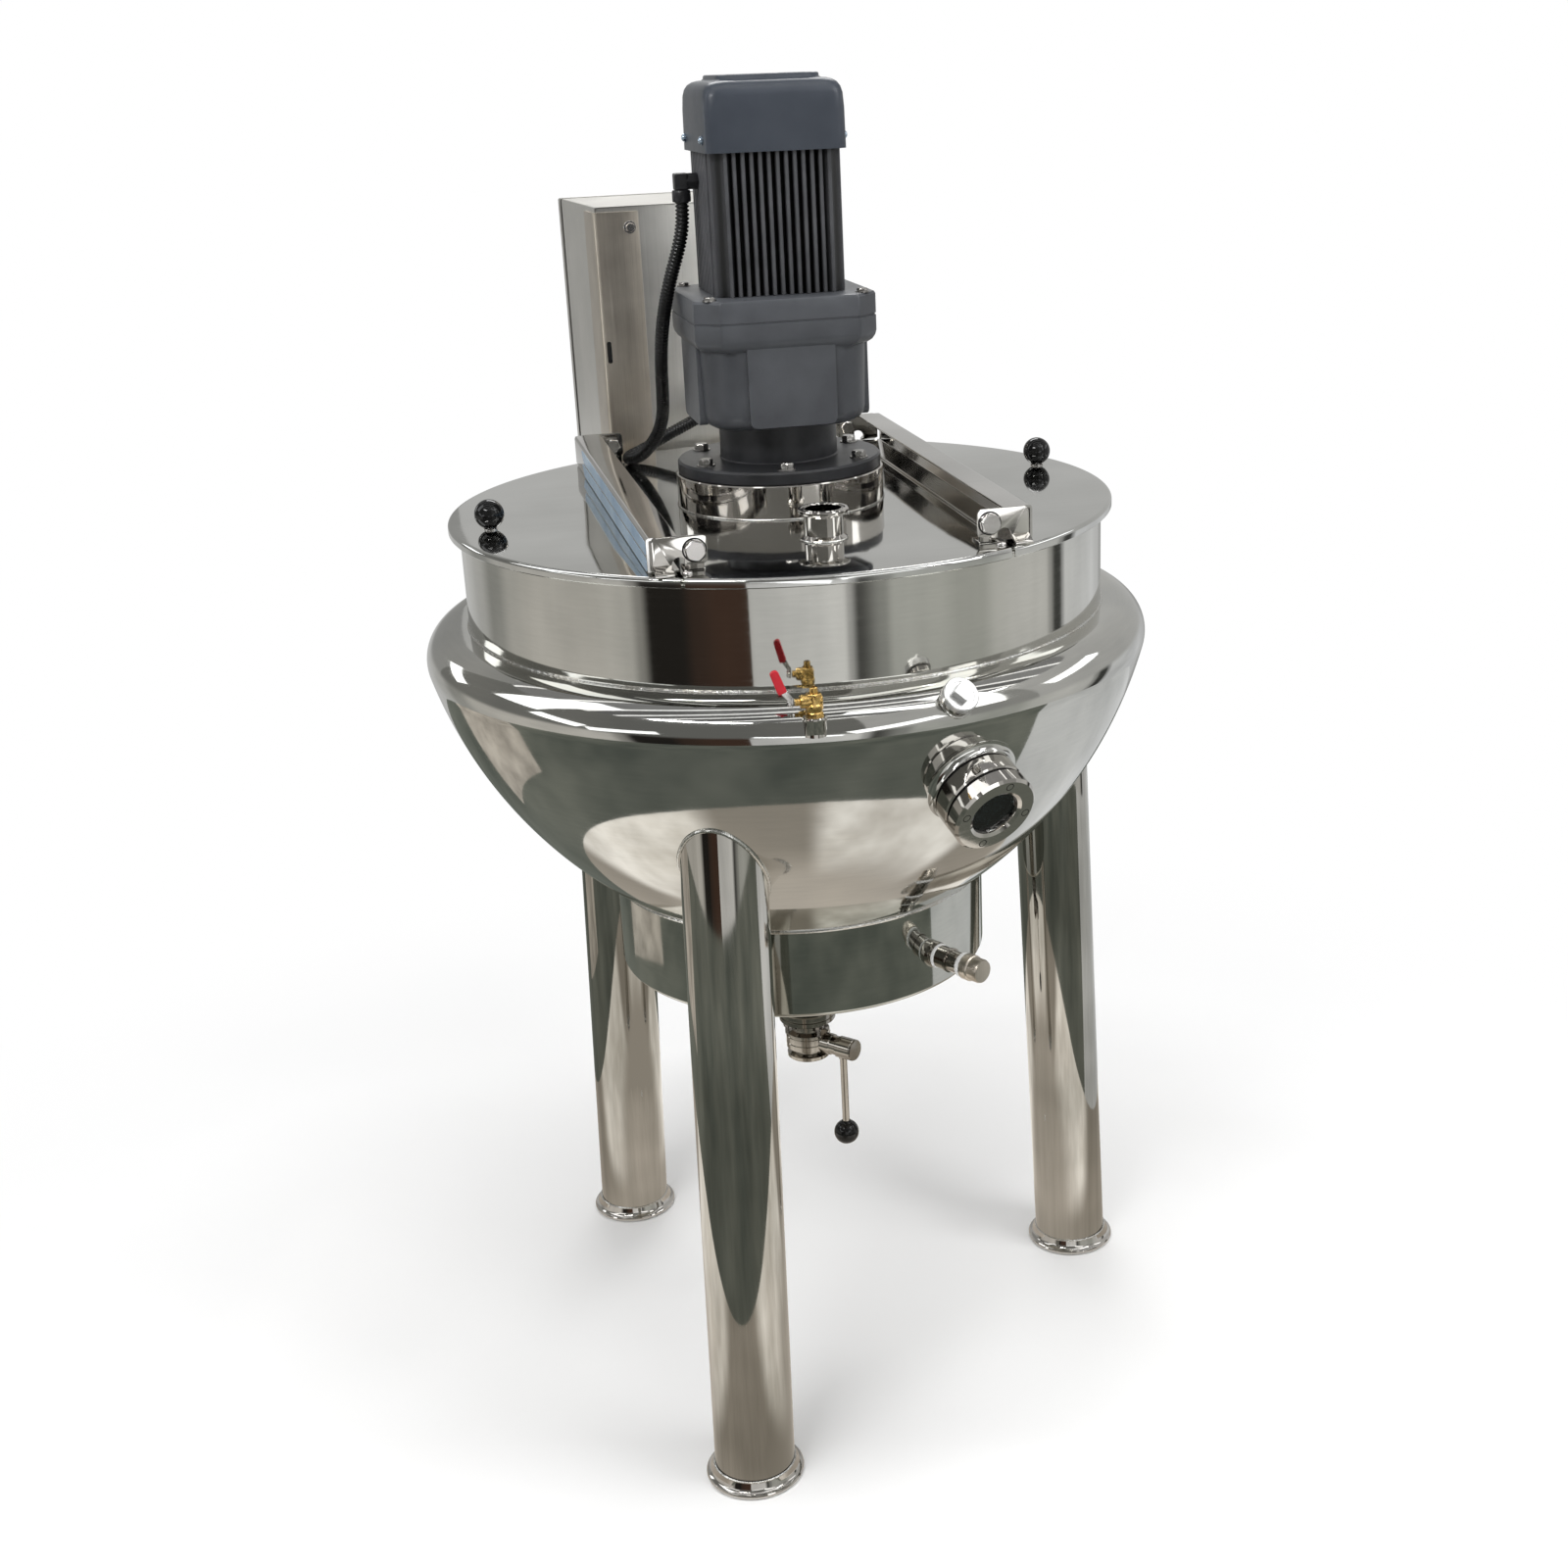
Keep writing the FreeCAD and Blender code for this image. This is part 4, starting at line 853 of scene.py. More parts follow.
def gearbox():
    r, neck = flange_radius, neck_radius
    # The flange and neck take the darker flange paint, painted shade under the case.
    Shape().lathe([(0, ring_top), (r - 0.002, ring_top), (r, ring_top + 0.002), (r, flange_top - 0.003),
                   (r - 0.0025, flange_top), (neck + 0.0020, flange_top), (neck + 0.0005, flange_top + 0.002),
                   (neck, neck_top + 0.004), (0, neck_top + 0.004)], turns=128).piece(
        "gear_flange", flange_shade_paint)
    case = Shape()
    levels = mm(0, 26, 2.5, 15, 7, 7, 13, 2, 21, 0)
    rows = [(neck_top + lift, rounded_square(0.226 - 2 * inset, case_corner - inset, 10))
            for lift, inset in levels]
    rows += [(neck_top + 0.060, rounded_square(0.228, case_corner, 10)),
             (body_top + 0.001, rounded_square(0.231, case_corner, 10))]
    case.rings(stacked(rows))
    half_pad, pad_low, pad_high, pad_deep = 0.060, 0.006, 0.120, 0.012
    pad = rounded([(-half_pad, pad_low, 0.012), (half_pad, pad_low, 0.012), (half_pad, pad_high, 0.001),
                   (-half_pad, pad_high, 0.001)], 0.01, 5)
    for turn in quarter_turns:
        place = turn @ upright((0, -0.1185, neck_top), (1, 0, 0), (0, 1, 0))
        case.bar(pad, pad_deep, place, 0.002, 3)
    height = cover_top - body_top
    cover = [(-0.010, 0.010), (-0.006, 0.005), (0.0, 0.0015), (0.006, 0.0), (0.026, 0.0), (0.0265, 0.0012),
             (0.0285, 0.0012), (0.029, 0.0), (height - 0.004, 0.0), (height - 0.001, 0.0015),
             (height, 0.0045)]
    case.rings(stacked([(body_top + lift, cover_outline(inset)) for lift, inset in cover]))
    case.piece("gear_case", housing_paint, replaces=["gearbox"])
    bolts, caps = Shape(), Shape()
    for i in range(6):
        place = Matrix.Translation(polar(0.122, -97 + 60 * i, flange_top)) @ Matrix.Rotation(0.3 * i, 4, "Z")
        bolts.hex_head(0.017, 0.008, place, 0.0125)
    bolts.piece("flange_bolts", bolt_dark)
    for i in range(4):
        caps.hex_head(0.013, 0.004, Matrix.Translation(polar(0.146, 45 + 90 * i, cover_top - 0.0005)), 0.0095)
    caps.piece("cover_bolts", bolt_dark)


def motor():
    core, fins = Shape(), Shape()
    half, depth, height = 0.089, 0.016, motor_top - cover_top
    core.bar(rounded_square(2 * (half - depth), 0.022), height, Matrix.Translation((0, 0, cover_top)))
    # The core is near black: painted shade deep between the fins.
    core.piece("motor_core", shade_black, replaces=["motor"])
    count, pitch, half_fin, edge = 13, 0.0115, 0.0025, 0.001
    root = -half + depth + 0.003
    flat = rounded(mm(-69, -86, -86, -69, -66, -50, -50, -66), 0.002)
    for turn in quarter_turns:
        place = turn @ Matrix.Translation((0, 0, cover_top + 0.0005))
        for i in range(count):
            from_middle = i - count // 2
            x = from_middle * pitch
            tip = -half + 0.0015 * (abs(from_middle) > 4)
            fin = [(x - half_fin - 0.0006, root), (x - half_fin, tip + edge), (x - half_fin + edge, tip),
                   (x + half_fin - edge, tip), (x + half_fin, tip + edge), (x + half_fin + 0.0006, root)]
            fins.bar(fin, height - 0.001, place)
        fins.bar(flat, height - 0.001, place, 0.0005)
    fins.piece("motor_fins", fin_paint)


def hood():
    """Fan hood: pressed sheet with a crowned edge and a flat raised top."""
    width, base = 0.188, motor_top
    rows = [(-0.001, 0.004, 0.015), (-0.001, 0.0, 0.017), (0.050, 0.001, 0.017), (0.068, 0.003, 0.018),
            (0.076, 0.007, 0.019), (0.0815, 0.014, 0.020), (0.0850, 0.024, 0.022), (0.0868, 0.036, 0.024),
            (0.0872, 0.046, 0.026), (0.0890, 0.050, 0.027), (0.0926, 0.051, 0.027), (0.0938, 0.054, 0.027)]
    rings = stacked([(base + lift, rounded_square(width - inset, corner, 8)) for lift, inset, corner in rows])
    rings.append([Vector((0, 0, base + 0.0942))])
    Shape().rings(rings, caps=False).piece("fan_hood", hood_paint, replaces=["fan_cover"], sharp=50)
    screws = Shape()
    for turn in quarter_turns[1::2]:
        for x in (-0.066, 0.066):
            place = turn @ toward((x, -width / 2, base + 0.015), (0, -1, 0))
            screws.lathe(mm(0, 0, 6.2, 0, 6.2, 1.2, 0, 1.2), place, 24)
            screws.dome_head(0.0048, 0.0042, place @ Matrix.Translation((0, 0, 0.0012)))
    screws.piece("hood_screws", screw_zinc)


# Fittings


def ferrule():
    outside = mm(30, 0, 30, 2.2, 27.5, 4, 25.5, 6, 25.5, 29, 26.2, 31.5, 30, 33.5, 33, 34.5, 33.5, 36,
                 33.5, 38.5, 32.2, 40, 29, 40, 28.2, 38.8, 26.2, 38.8, 25.4, 40, 24.5, 40)
    profile = [(ferrule_bore, 0.0)] + outside + [(ferrule_bore, 0.0390)]
    Shape().lathe(profile, Matrix.Translation((0, ferrule_y, lid_top)), 72).piece(
        "inlet_ferrule", turned_steel, replaces=["lid_ferrule"])
    round_weld("ferrule_weld", 0.0304, lid_top + 0.0008, 0.0014, 60, (0, ferrule_y, 0))


cock_place, cock_pivot = polar(0.506, -98.3, 1.138), 0.032


def cock():
    boss, brass = Shape(), Shape()
    base = Matrix.Translation(cock_place)
    boss.lathe(mm(0, -12, 14.5, -12, 14.5, 6, 15, 6.8, 15, 11, 13.5, 12.5, 0, 12.5), base, 48)
    boss.piece("cock_boss", turned_steel, replaces=["cock_body"])
    brass.lathe(mm(0, 12, 9.5, 12, 9.5, 19, 11, 21.5, 11, 27, 9.5, 29, 9.5, 38, 0, 38), base, 48)
    brass.hex_head(0.0200, 0.0060, Matrix.Translation(cock_place + Vector((0, 0, 0.0125))))
    barrel = toward(cock_place + Vector((-0.024, 0, cock_pivot)), (1, 0, 0))
    brass.lathe(mm(0, 0, 4.5, 0, 4.5, 6, 7.5, 6.5, 8.5, 9, 8.5, 26, 7.5, 29, 7.5, 33, 6, 34,
                   0, 34), barrel, 40)
    brass.hex_head(0.0175, 0.0060, Matrix.Translation(cock_place + Vector((0, 0, 0.0355))))
    brass.lathe(mm(0, 41, 5.2, 41, 5.2, 48.2, 4.6, 49, 3.2, 49, 3, 45, 0, 45), base, 40)
    brass.piece("cock_brass", cock_brass)


def cock_lever():
    """Steel strip cranked outwards from its pivot, with a red sleeve on it."""
    pivot = cock_place + Vector((-0.0283, 0, cock_pivot))
    strip, thick = Shape(), 0.0018
    tab = rounded([(-0.0055, -0.0055, 0.005), (0.0055, -0.0055, 0.005), (0.0055, 0.0065, 0.001),
                   (-0.0055, 0.0065, 0.001)], 0.004, 6)
    strip.bar(tab, thick, upright(pivot, (0, 1, 0), (1, 0, 0)), 0.0003)
    facing = upright(pivot - Vector((0, 0.0035, 0)), (1, 0, 0), (0, -1, 0))
    crank = rounded(mm(1.8, -2, 1.8, 7, -7, 19, -15, 16, -2, 1), 0.0015)
    strip.bar(crank, thick, facing, 0.0003)
    strip.hex_head(0.0080, 0.0030, toward(pivot, (-1, 0, 0)), 0.0052)
    strip.piece("lever_strip", bolt_steel, "lever")
    lean = facing @ Matrix.Translation((-0.0105, 0.0140, -thick)) @ Matrix.Rotation(math.radians(20), 4, "Z")
    sleeve = rounded([(-0.0058, 0, 0.003), (0.0058, 0, 0.003), (0.0052, 0.0310, 0.005),
                      (-0.0052, 0.0310, 0.005)], 0.004, 6)
    Shape().bar(sleeve, 0.0054, lean, 0.0016, 3).piece("lever_grip", lever_red, "lever", ["cock_lever"])


def filler():
    lean = leaning(-77.6, 40.0)
    base = polar(0.497, -77.6, 1.142) - lean * 0.012
    place = toward(base, lean, 38)
    boss, plug = Shape(), Shape()
    boss.lathe(mm(0, 0, 20.5, 0, 20.5, 27, 19.5, 28, 0, 28), place, 64)
    boss.piece("filler_boss", turned_steel)
    plug.lathe(mm(0, 29, 22, 29, 23, 30, 23, 37.8, 21.6, 39.2, 17, 39.2, 16.4, 38.6, 0, 38.6), place, 64)
    plug.block((0.0200, 0.0200, 0.0104), place @ Matrix.Translation((0, 0, 0.0384)), 0.0012, 3)
    plug.piece("filler_cap", cast_steel, replaces=["filler_plug"])
    joint = Shape().lathe(mm(0, 27.5, 20, 27.5, 20, 29.2, 0, 29.2), place, 64)
    joint.piece("filler_joint", gasket_rubber)
    seam = []
    for side in round_about(lean, 64):
        reach = reach_jacket(base + side * 0.0207, lean, 0.030, -0.0005, -0.02)
        seam.append(base + side * 0.0210 + lean * reach)
    Shape().tube_along(seam, [0.0020], 8, loop=True).piece("filler_weld", weld_bead)


def sight():
    place, w = toward(sight_base, sight_direction, 35), sight_window
    neck = [(w, -0.030)] + mm(56, -30, 57.5, -10, 57.5, 5.2, 56.2, 6.5) + [(w, 0.0065)]
    ring = [(w, 0.0100)] + mm(56.2, 10, 58.2, 12, 58.4, 23, 58.2, 33.5, 56.2, 35.5) + [(w, 0.0355)]
    clamp = [(w, 0.0390)] + mm(56.2, 39, 58.2, 41, 58.2, 58.5, 54.6, 62)
    clamp += [(w + 0.0055, 0.0620), (w + 0.0010, 0.0590), (w, 0.0560)]
    Shape().lathe(neck, place, 128).piece("sight_neck", turned_steel, replaces=["sight_body"])
    collar = [(0.0570, -0.012), (0.0680, -0.012)] + arc((0.0680, 0.0075), 0.0105, -90, -176, 8)
    Shape().lathe(collar + [(0.0570, 0.0060)], place, 128).piece("sight_collar", bowl_steel)
    Shape().lathe(ring, place, 128).piece("sight_ring", turned_steel)
    Shape().lathe(clamp, place, 128).piece("sight_clamp", turned_steel)
    gaskets, screws, sockets = Shape(), Shape(), Shape()
    for level in (0.0065, 0.0355):
        gaskets.lathe([(w, level), (0.0530, level), (0.0530, level + 0.0035), (w, level + 0.0035)], place, 96)
    gaskets.piece("sight_gaskets", gasket_rubber)
    pane = [(0, 0.0440), (w - 0.0002, 0.0440), (w - 0.0002, 0.0540), (0, 0.0540)]
    Shape().lathe(pane, place, 96).piece("sight_pane", sight_pane, replaces=["sight_glass"])
    for i in range(4):
        spot = place @ Matrix.Translation(polar(0.0468, 45 + 90 * i, 0.0617))
        screws.lathe(mm(2.4, -3, 2.4, 0.2, 4, 0.2, 4.5, -0.2, 4.5, -3), spot, 32)
        # Near-black hex in each screw and a ring round its head: painted shade in the socket and round the
        # head.
        sockets.lathe(mm(0, -3, 2.5, -3, 2.5, -0.4, 0, -0.4), spot, 6)
        sockets.lathe(mm(4.5, -3, 5.6, -3, 5.6, 0.35, 4.5, 0.35), spot, 32)
    screws.piece("sight_screws", bolt_steel)
    sockets.piece("sight_sockets", shade_black)


def drain():
    out = leaning(-59.0, 0.0)
    place = toward(out * (drum_radius - 0.004) + Vector((0, 0, 0.687)), out, 15)
    steel, tape, cap = Shape(), Shape(), Shape()
    steel.lathe(mm(0, 0, 19, 0, 19, 12, 18, 14, 0, 14), place, 64)
    steel.lathe(mm(0, 15, 16.5, 15, 16.5, 36, 18, 36.5, 18, 39.5, 15.5, 40, 15.5, 60, 0, 60), place, 64)
    steel.piece("drain_coupling", valve_steel, replaces=["drain_nipple"])
    tape.lathe(mm(0, 13.8, 17.2, 13.8, 18, 15, 17.6, 17.5, 16.8, 19, 0, 19), place, 48)
    tape.lathe(mm(0, 59, 16.5, 59, 17.6, 60.5, 17.8, 66, 17, 68, 0, 68), place, 48)
    tape.piece("drain_tape", thread_tape)
    cap.lathe(mm(0, 67.5, 18.5, 67.5, 19, 68.5, 19, 80, 18, 81.5, 17.2, 82, 17.2, 95.5, 16, 98.5,
                 0, 99), place, 64)
    cap.piece("drain_cap", post_steel)


# Outlet valve

spindle_angle, spindle_level = -48.0, 0.461


def outlet():
    bore, tube = outlet_bore, outlet_tube
    pipe_top = pot_centre - math.sqrt(shell_radius ** 2 - bore ** 2)
    pipe = [(bore, 0.5152), (tube, 0.5152), (tube, pipe_top), (bore, pipe_top)]
    Shape().lathe(pipe, turns=64).piece("outlet_tube", turned_steel, replaces=["outlet_pipe"])
    flanges = mm(42, 515, 43.5, 513.8, 43.5, 507.5, 42, 506.5, 42, 505.5, 43.5, 504.5, 43.5, 498.5, 42, 497.2)
    body = mm(25.5, 497, 25.5, 480, 30, 478.2, 33.5, 477, 33.5, 472, 34.5, 471.2, 34.5, 462, 33.5, 461,
              34.5, 460, 34.5, 452, 33.5, 451, 27, 449, 25.5, 447)
    ferrule_end = mm(25.5, 444, 31, 442, 33.5, 441, 33.5, 436, 32.5, 435)
    case = [(bore, 0.5150)] + flanges + body + ferrule_end + [(bore, 0.4350)]
    Shape().lathe(case, turns=96).piece("valve_case", valve_steel, replaces=["valve_body"])
    stem = mm(0, 30, 16.5, 30, 16.5, 46, 15, 47.5, 15, 58, 0, 58)
    Shape().lathe(stem, toward((0, 0, spindle_level), leaning(spindle_angle, 0.0)), 48).piece(
        "valve_stem", valve_steel)
    bolts = Shape()
    for i in range(4):
        spot = polar(0.036, 15 + 90 * i)
        bolts.hex_head(0.011, 0.0055, toward(spot + Vector((0, 0, 0.4972)), (0, 0, -1)))
        bolts.hex_head(0.011, 0.0055, toward(spot + Vector((0, 0, 0.5152)), (0, 0, 1)))
        shank = toward(spot + Vector((0, 0, 0.4925)), (0, 0, -1))
        bolts.lathe(mm(0, 0, 3.2, 0, 3.2, 13, 0, 13), shank, 24)
    bolts.piece("valve_bolts", bolt_dark)


def handle():
    out, hub_start = leaning(spindle_angle, 0.0), 0.0583
    level = Vector((0, 0, spindle_level))
    steel, grip = Shape(), Shape()
    steel.lathe(mm(0, 0, 15.6, 0, 16.8, 1.2, 16.8, 26.2, 16.1, 26.8, 16.1, 27.4, 16.8, 28, 15.8, 30,
                   0, 30), toward(out * hub_start + level, out), 64)
    down = toward(out * (hub_start + 0.007) + level, (0, 0, -1))
    steel.lathe(mm(0, 6, 7, 6, 7, 18.5, 5.6, 16.5, 5.6, 133, 0, 133), down, 40)
    steel.piece("handle_steel", valve_steel, "handle", ["valve_handle"])
    profile = mm(0, 127.5, 7.2, 127.5, 8.2, 129) + arc((0, 0.147), 0.0195, -64, 86, 25)
    grip.lathe(profile + [(0, 0.1665)], down, 64)
    grip.piece("handle_grip", ball_black, "handle", ["handle_ball"])


# Control box

box_turn = Matrix.Rotation(stand_turn, 4, "Z")
box_half, box_front, box_deep = 0.132, 0.508, 0.300
box_top, box_bottom, door_thick = 1.690, 1.210, 0.018
box_middle = (box_top + box_bottom) / 2


def box_outline(inset):
    """The box's outline seen from the front, drawn in by an inset."""
    corner = 0.003 if inset else 0.004
    return rounded_square(2 * (box_half - inset), corner, 4, box_top - box_bottom - 2 * inset)


def box_frame(shape, outer, inner, front, back):
    """Skin a frame between two outlines, from front to back, and turn it with the stand."""
    rows = [[Vector((x, y, z + box_middle)) for x, z in outline]
            for outline, y in ((outer, front), (outer, back), (inner, back), (inner, front))]
    shape.rings(rows, loop=True)
    bmesh.ops.transform(shape.bm, matrix=box_turn, verts=shape.bm.verts)
    return shape


def upright_pan(front, back, wall, open_back):
    """A folded sheet pan, open towards the back or the front."""
    bottom = upright((0, front if open_back else back - wall, box_middle), (1, 0, 0), (0, 1, 0))
    shape = Shape().bar(box_outline(0), wall, bottom)
    return box_frame(shape, box_outline(0), box_outline(wall), front, back)


def control_box():
    back, groove = box_front + box_deep - door_thick, 0.012
    upright_pan(box_front, back - groove, 0.002, True).piece("box_shell", box_steel, replaces=["box_body"])
    seal = box_frame(Shape(), box_outline(0.0035), box_outline(0.020), back - groove - 0.002, back + 0.001)
    seal.piece("door_seal", gasket_rubber)
    door = upright_pan(back + 0.0015, back + door_thick, 0.0015, False)
    door.piece("door_pan", box_steel, "door", ["box_door"])
    lock = Shape()
    for z in (1.33, 1.57):
        place = box_turn @ toward((-box_half + 0.028, back + door_thick - 0.0004, z), (0, 1, 0))
        lock.lathe(mm(0, -1, 10, -1, 10, 0.2, 0, 0.2), place, 40)
    lock.piece("door_locks", bolt_steel, "door")
    for lift, deep, name, body in ((0, -0.015, "box", "root"), (0.0255, 0.0, "door", "door")):
        hinges = Shape()
        for z in (box_bottom + 0.115 + lift, box_top - 0.165 + lift):
            barrel = box_turn @ Matrix.Translation((box_half + 0.0042, back + 0.0003, z))
            hinges.lathe(mm(0, 0, 3.4, 0, 4, 0.6, 4, 24.4, 3.4, 25, 0, 25), barrel, 32)
            middle = back + 0.0003 + deep + 0.0075
            leaf = box_turn @ Matrix.Translation((box_half + 0.0010, middle, z))
            hinges.block((0.0020, 0.0150, 0.0250), leaf, 0.0004)
            for k in (0.006, 0.019):
                head = (box_half + 0.0020, middle - 0.002 + deep * 0.2, z + k)
                hinges.dome_head(0.0028, 0.0014, box_turn @ toward(head, (1, 0, 0)))
        hinges.piece("hinge_leaves_" + name, bolt_steel, body)


def posts():
    """Bent angle posts on the box's front corners, with ties to the shell."""
    wall, flange, low = 0.004, 0.068, 1.128
    face, length, outer = box_front - wall, box_top - 0.008 - low, box_half + wall
    for side, name in ((-1, "left"), (1, "right")):
        near, corner, far = side * (box_half - flange), side * box_half, side * outer
        section = rounded([(near, face), (far, face, 0.0055), (far, box_front + flange),
                           (corner, box_front + flange), (corner, box_front, 0.0015),
                           (near, box_front)], 0.0008)
        Shape().bar(section, length, box_turn @ Matrix.Translation((0, 0, low))).piece(
            "post_" + name, post_steel, replaces=["box_posts"] if side < 0 else ())
    ties, bolts, slot = Shape(), Shape(), Shape()
    shell_end = 0.438
    depth = face - shell_end
    for side in (-1, 1):
        place = box_turn @ Matrix.Translation((side * (box_half - 0.030), shell_end + depth / 2, 1.235))
        ties.block((0.040, depth, 0.046), place, 0.003, 3)
        for z in (1.658, 1.30):
            place = box_turn @ toward((side * (box_half - 0.053), face - 0.0001, z), (0, -1, 0), 10)
            bolts.hex_head(0.013, 0.0055, place, 0.0098)
    ties.piece("post_ties", post_steel)
    bolts.piece("post_bolts", bolt_steel)
    # A thin near-black sheet on the post's face: painted shade where the slot is.
    outline = rounded(mm(-3.5, -17, 3.5, -17, 3.5, 17, -3.5, 17), 0.0034, 5)
    slot.bar(outline, 0.0006, box_turn @ toward((-box_half + 0.006, face - 0.0002, 1.467), (0, -1, 0), 180))
    slot.piece("post_slot", shade_black)


# Conduit

cord_radius, ridge_pitch = 0.0095, 0.0052
cord_exit = Vector((-0.112, 0.018, 1.722))
cord_route = [
    (-0.112, 0.018, 1.700), (-0.117, 0.024, 1.668), (-0.130, 0.038, 1.625), (-0.139, 0.056, 1.582),
    (-0.143, 0.080, 1.538), (-0.142, 0.110, 1.494), (-0.137, 0.148, 1.451), (-0.132, 0.192, 1.412),
    (-0.134, 0.238, 1.378), (-0.143, 0.276, 1.352), (-0.154, 0.305, 1.333), (-0.166, 0.331, 1.3245),
    (-0.1695, 0.3475, 1.323), (-0.164, 0.3625, 1.3235), (-0.152, 0.3725, 1.326), (-0.128, 0.384, 1.334),
    (-0.100, 0.394, 1.346), (-0.070, 0.404, 1.357), (-0.044, 0.417, 1.366), (-0.026, 0.435, 1.371),
    (-0.0184, 0.4589, 1.372),
]
cord_hole = Vector((0.020, box_front - 0.025, 1.372))
cord_entry = box_turn @ cord_hole


def conduit():
    """Corrugated conduit along one smooth line from the motor to the box."""
    points = [cord_exit] + [Vector(p) for p in cord_route] + [cord_entry]
    curve = bpy.data.curves.new("conduit_line", "CURVE")
    curve.dimensions = "3D"
    curve.resolution_u = 24
    spline = curve.splines.new("NURBS")
    spline.points.add(len(points) - 1)
    for point, place in zip(spline.points, points):
        point.co = (*(place + axis), 1.0)
    spline.order_u = 3
    spline.use_endpoint_u = True
    line = linked("conduit_line", curve)
    depsgraph = bpy.context.evaluated_depsgraph_get()
    traced = bpy.data.meshes.new_from_object(line.evaluated_get(depsgraph))
    path = [v.co - axis for v in traced.vertices]
    bpy.data.objects.remove(line)
    ridges = [cord_radius - depth for depth in (0.0, 0.0001, 0.0021, 0.0021)]
    hose = Shape().tube_along(even_steps(path, ridge_pitch / len(ridges)), ridges, 20).piece(
        "conduit_hose", hose_black, replaces=["conduit"], sharp=80)


def even_steps(path, step):
    """Points a fixed distance apart along a traced line."""
    steps, carried = [path[0]], 0.0
    for a, b in zip(path, path[1:]):
        run = (b - a).length
        while carried + run >= step:
            share = (step - carried) / run
            a = a.lerp(b, share)
            run = (b - a).length
            carried = 0.0
            steps.append(a.copy())
        carried += run
    return steps + [path[-1]]


def glands():
    motor_side, box_side = Shape(), Shape()
    motor_side.lathe(mm(0, 0, 12.2, 0, 12.5, 1, 12.5, 13, 11.5, 15, 0, 15),
                     Matrix.Translation(cord_exit), 32)
    elbow = Matrix.Translation(cord_exit + Vector((0, 0, 0.015)))
    motor_side.block((0.019, 0.019, 0.022), elbow, 0.004, 4)
    inlet = toward(cord_exit + Vector((0.006, 0, 0.026)), (1, 0, 0))
    motor_side.lathe(mm(0, 0, 10.5, 0, 10.5, 16.5, 0, 16.5), inlet, 8)
    motor_side.piece("motor_elbow", gland_black, replaces=["motor_gland"])
    place = box_turn @ toward(cord_hole, (0, 1, 0))
    box_side.lathe(mm(0, 0, 11.8, 0, 12.5, 1.5, 13, 10, 10.5, 11, 10.5, 16, 0, 16), place, 40)
    box_side.hex_head(0.0230, 0.0080, place @ Matrix.Translation((0, 0, 0.0168)))
    box_side.piece("box_elbow", gland_black, replaces=["box_gland"])


# Studio


# Cards round the kettle: name, first and last turn in degrees, how softly each end blends, colour,
# colour above
grey_above, mid_above, pale_above = (0.20, 0.20, 0.19), (0.34, 0.34, 0.33), (0.54, 0.54, 0.53)
cards = [
    ("window_card", -113, -82, (0, 2), (0.90, 0.90, 0.89), grey_above),
    ("copper_card", -130, -113, (9, 0), (0.085, 0.050, 0.036), grey_above),
    ("dark_flag", -149, -130, (4, 5), (0.028, 0.025, 0.022), grey_above),
    ("linen_card", -160, -149, (5, 4), (0.72, 0.70, 0.66), grey_above),
    ("beige_card", -205, -160, (12, 6), (0.66, 0.64, 0.60), grey_above),
    ("shaded_wall", -228, -205, (9, 9), (0.38, 0.38, 0.36), grey_above),
    ("far_wall", -262, -228, (6, 9), (0.60, 0.60, 0.59), mid_above),
    ("far_window", -285, -262, (6, 6), (0.50, 0.51, 0.51), pale_above),
    ("grey_wall", -318, -285, (9, 6), (0.40, 0.40, 0.39), pale_above),
    ("pale_wall", -354, -318, (2, 9), (0.76, 0.77, 0.78), pale_above),
    ("black_flag", -362, -354, (3, 2), (0.060, 0.062, 0.058), pale_above),
    ("side_window", -388, -362, (8, 3), (0.70, 0.70, 0.68), pale_above),
    ("moss_card", -412, -388, (8, 8), (0.46, 0.47, 0.44), mid_above),
    ("slate_card", -431, -412, (4, 8), (0.56, 0.57, 0.54), pale_above),
    ("narrow_flag", -442, -431, (3, 8), (0.10, 0.10, 0.095), pale_above),
]
cards_radius, cards_low, cards_top = 2.8, 0.004, 3.4
near_floor_radius, ceiling_level, ceiling_half = 0.95, 4.0, 4.5

# Lamp panels that draw white dashes on the round shoulder: two ends, each (radius, turn, level), and width
panels = [
    ((2.75, 169.5, 2.10), (1.90, 174.6, 3.90), 1.00), ((2.75, -179.0, 1.75), (2.75, -161.0, 1.30), 0.35),
    ((2.75, -159.0, 1.14), (2.75, -138.0, 1.40), 0.30), ((2.08, -80.6, 3.90), (2.75, -51.0, 3.35), 0.60),
    ((1.50, -33.0, 3.90), (2.75, -44.0, 1.75), 0.50), ((2.75, -86.0, 1.05), (2.75, -60.0, 1.62), 0.35),
    ((2.75, -112.0, 1.11), (2.75, -88.0, 0.84), 0.13), ((2.75, -20.0, 2.00), (2.75, 12.0, 2.40), 0.40),
    ((2.75, 128.0, 2.10), (2.75, 146.0, 1.60), 0.35),
]


def blend(a, b):
    return tuple((x + y) / 2 for x, y in zip(a, b))


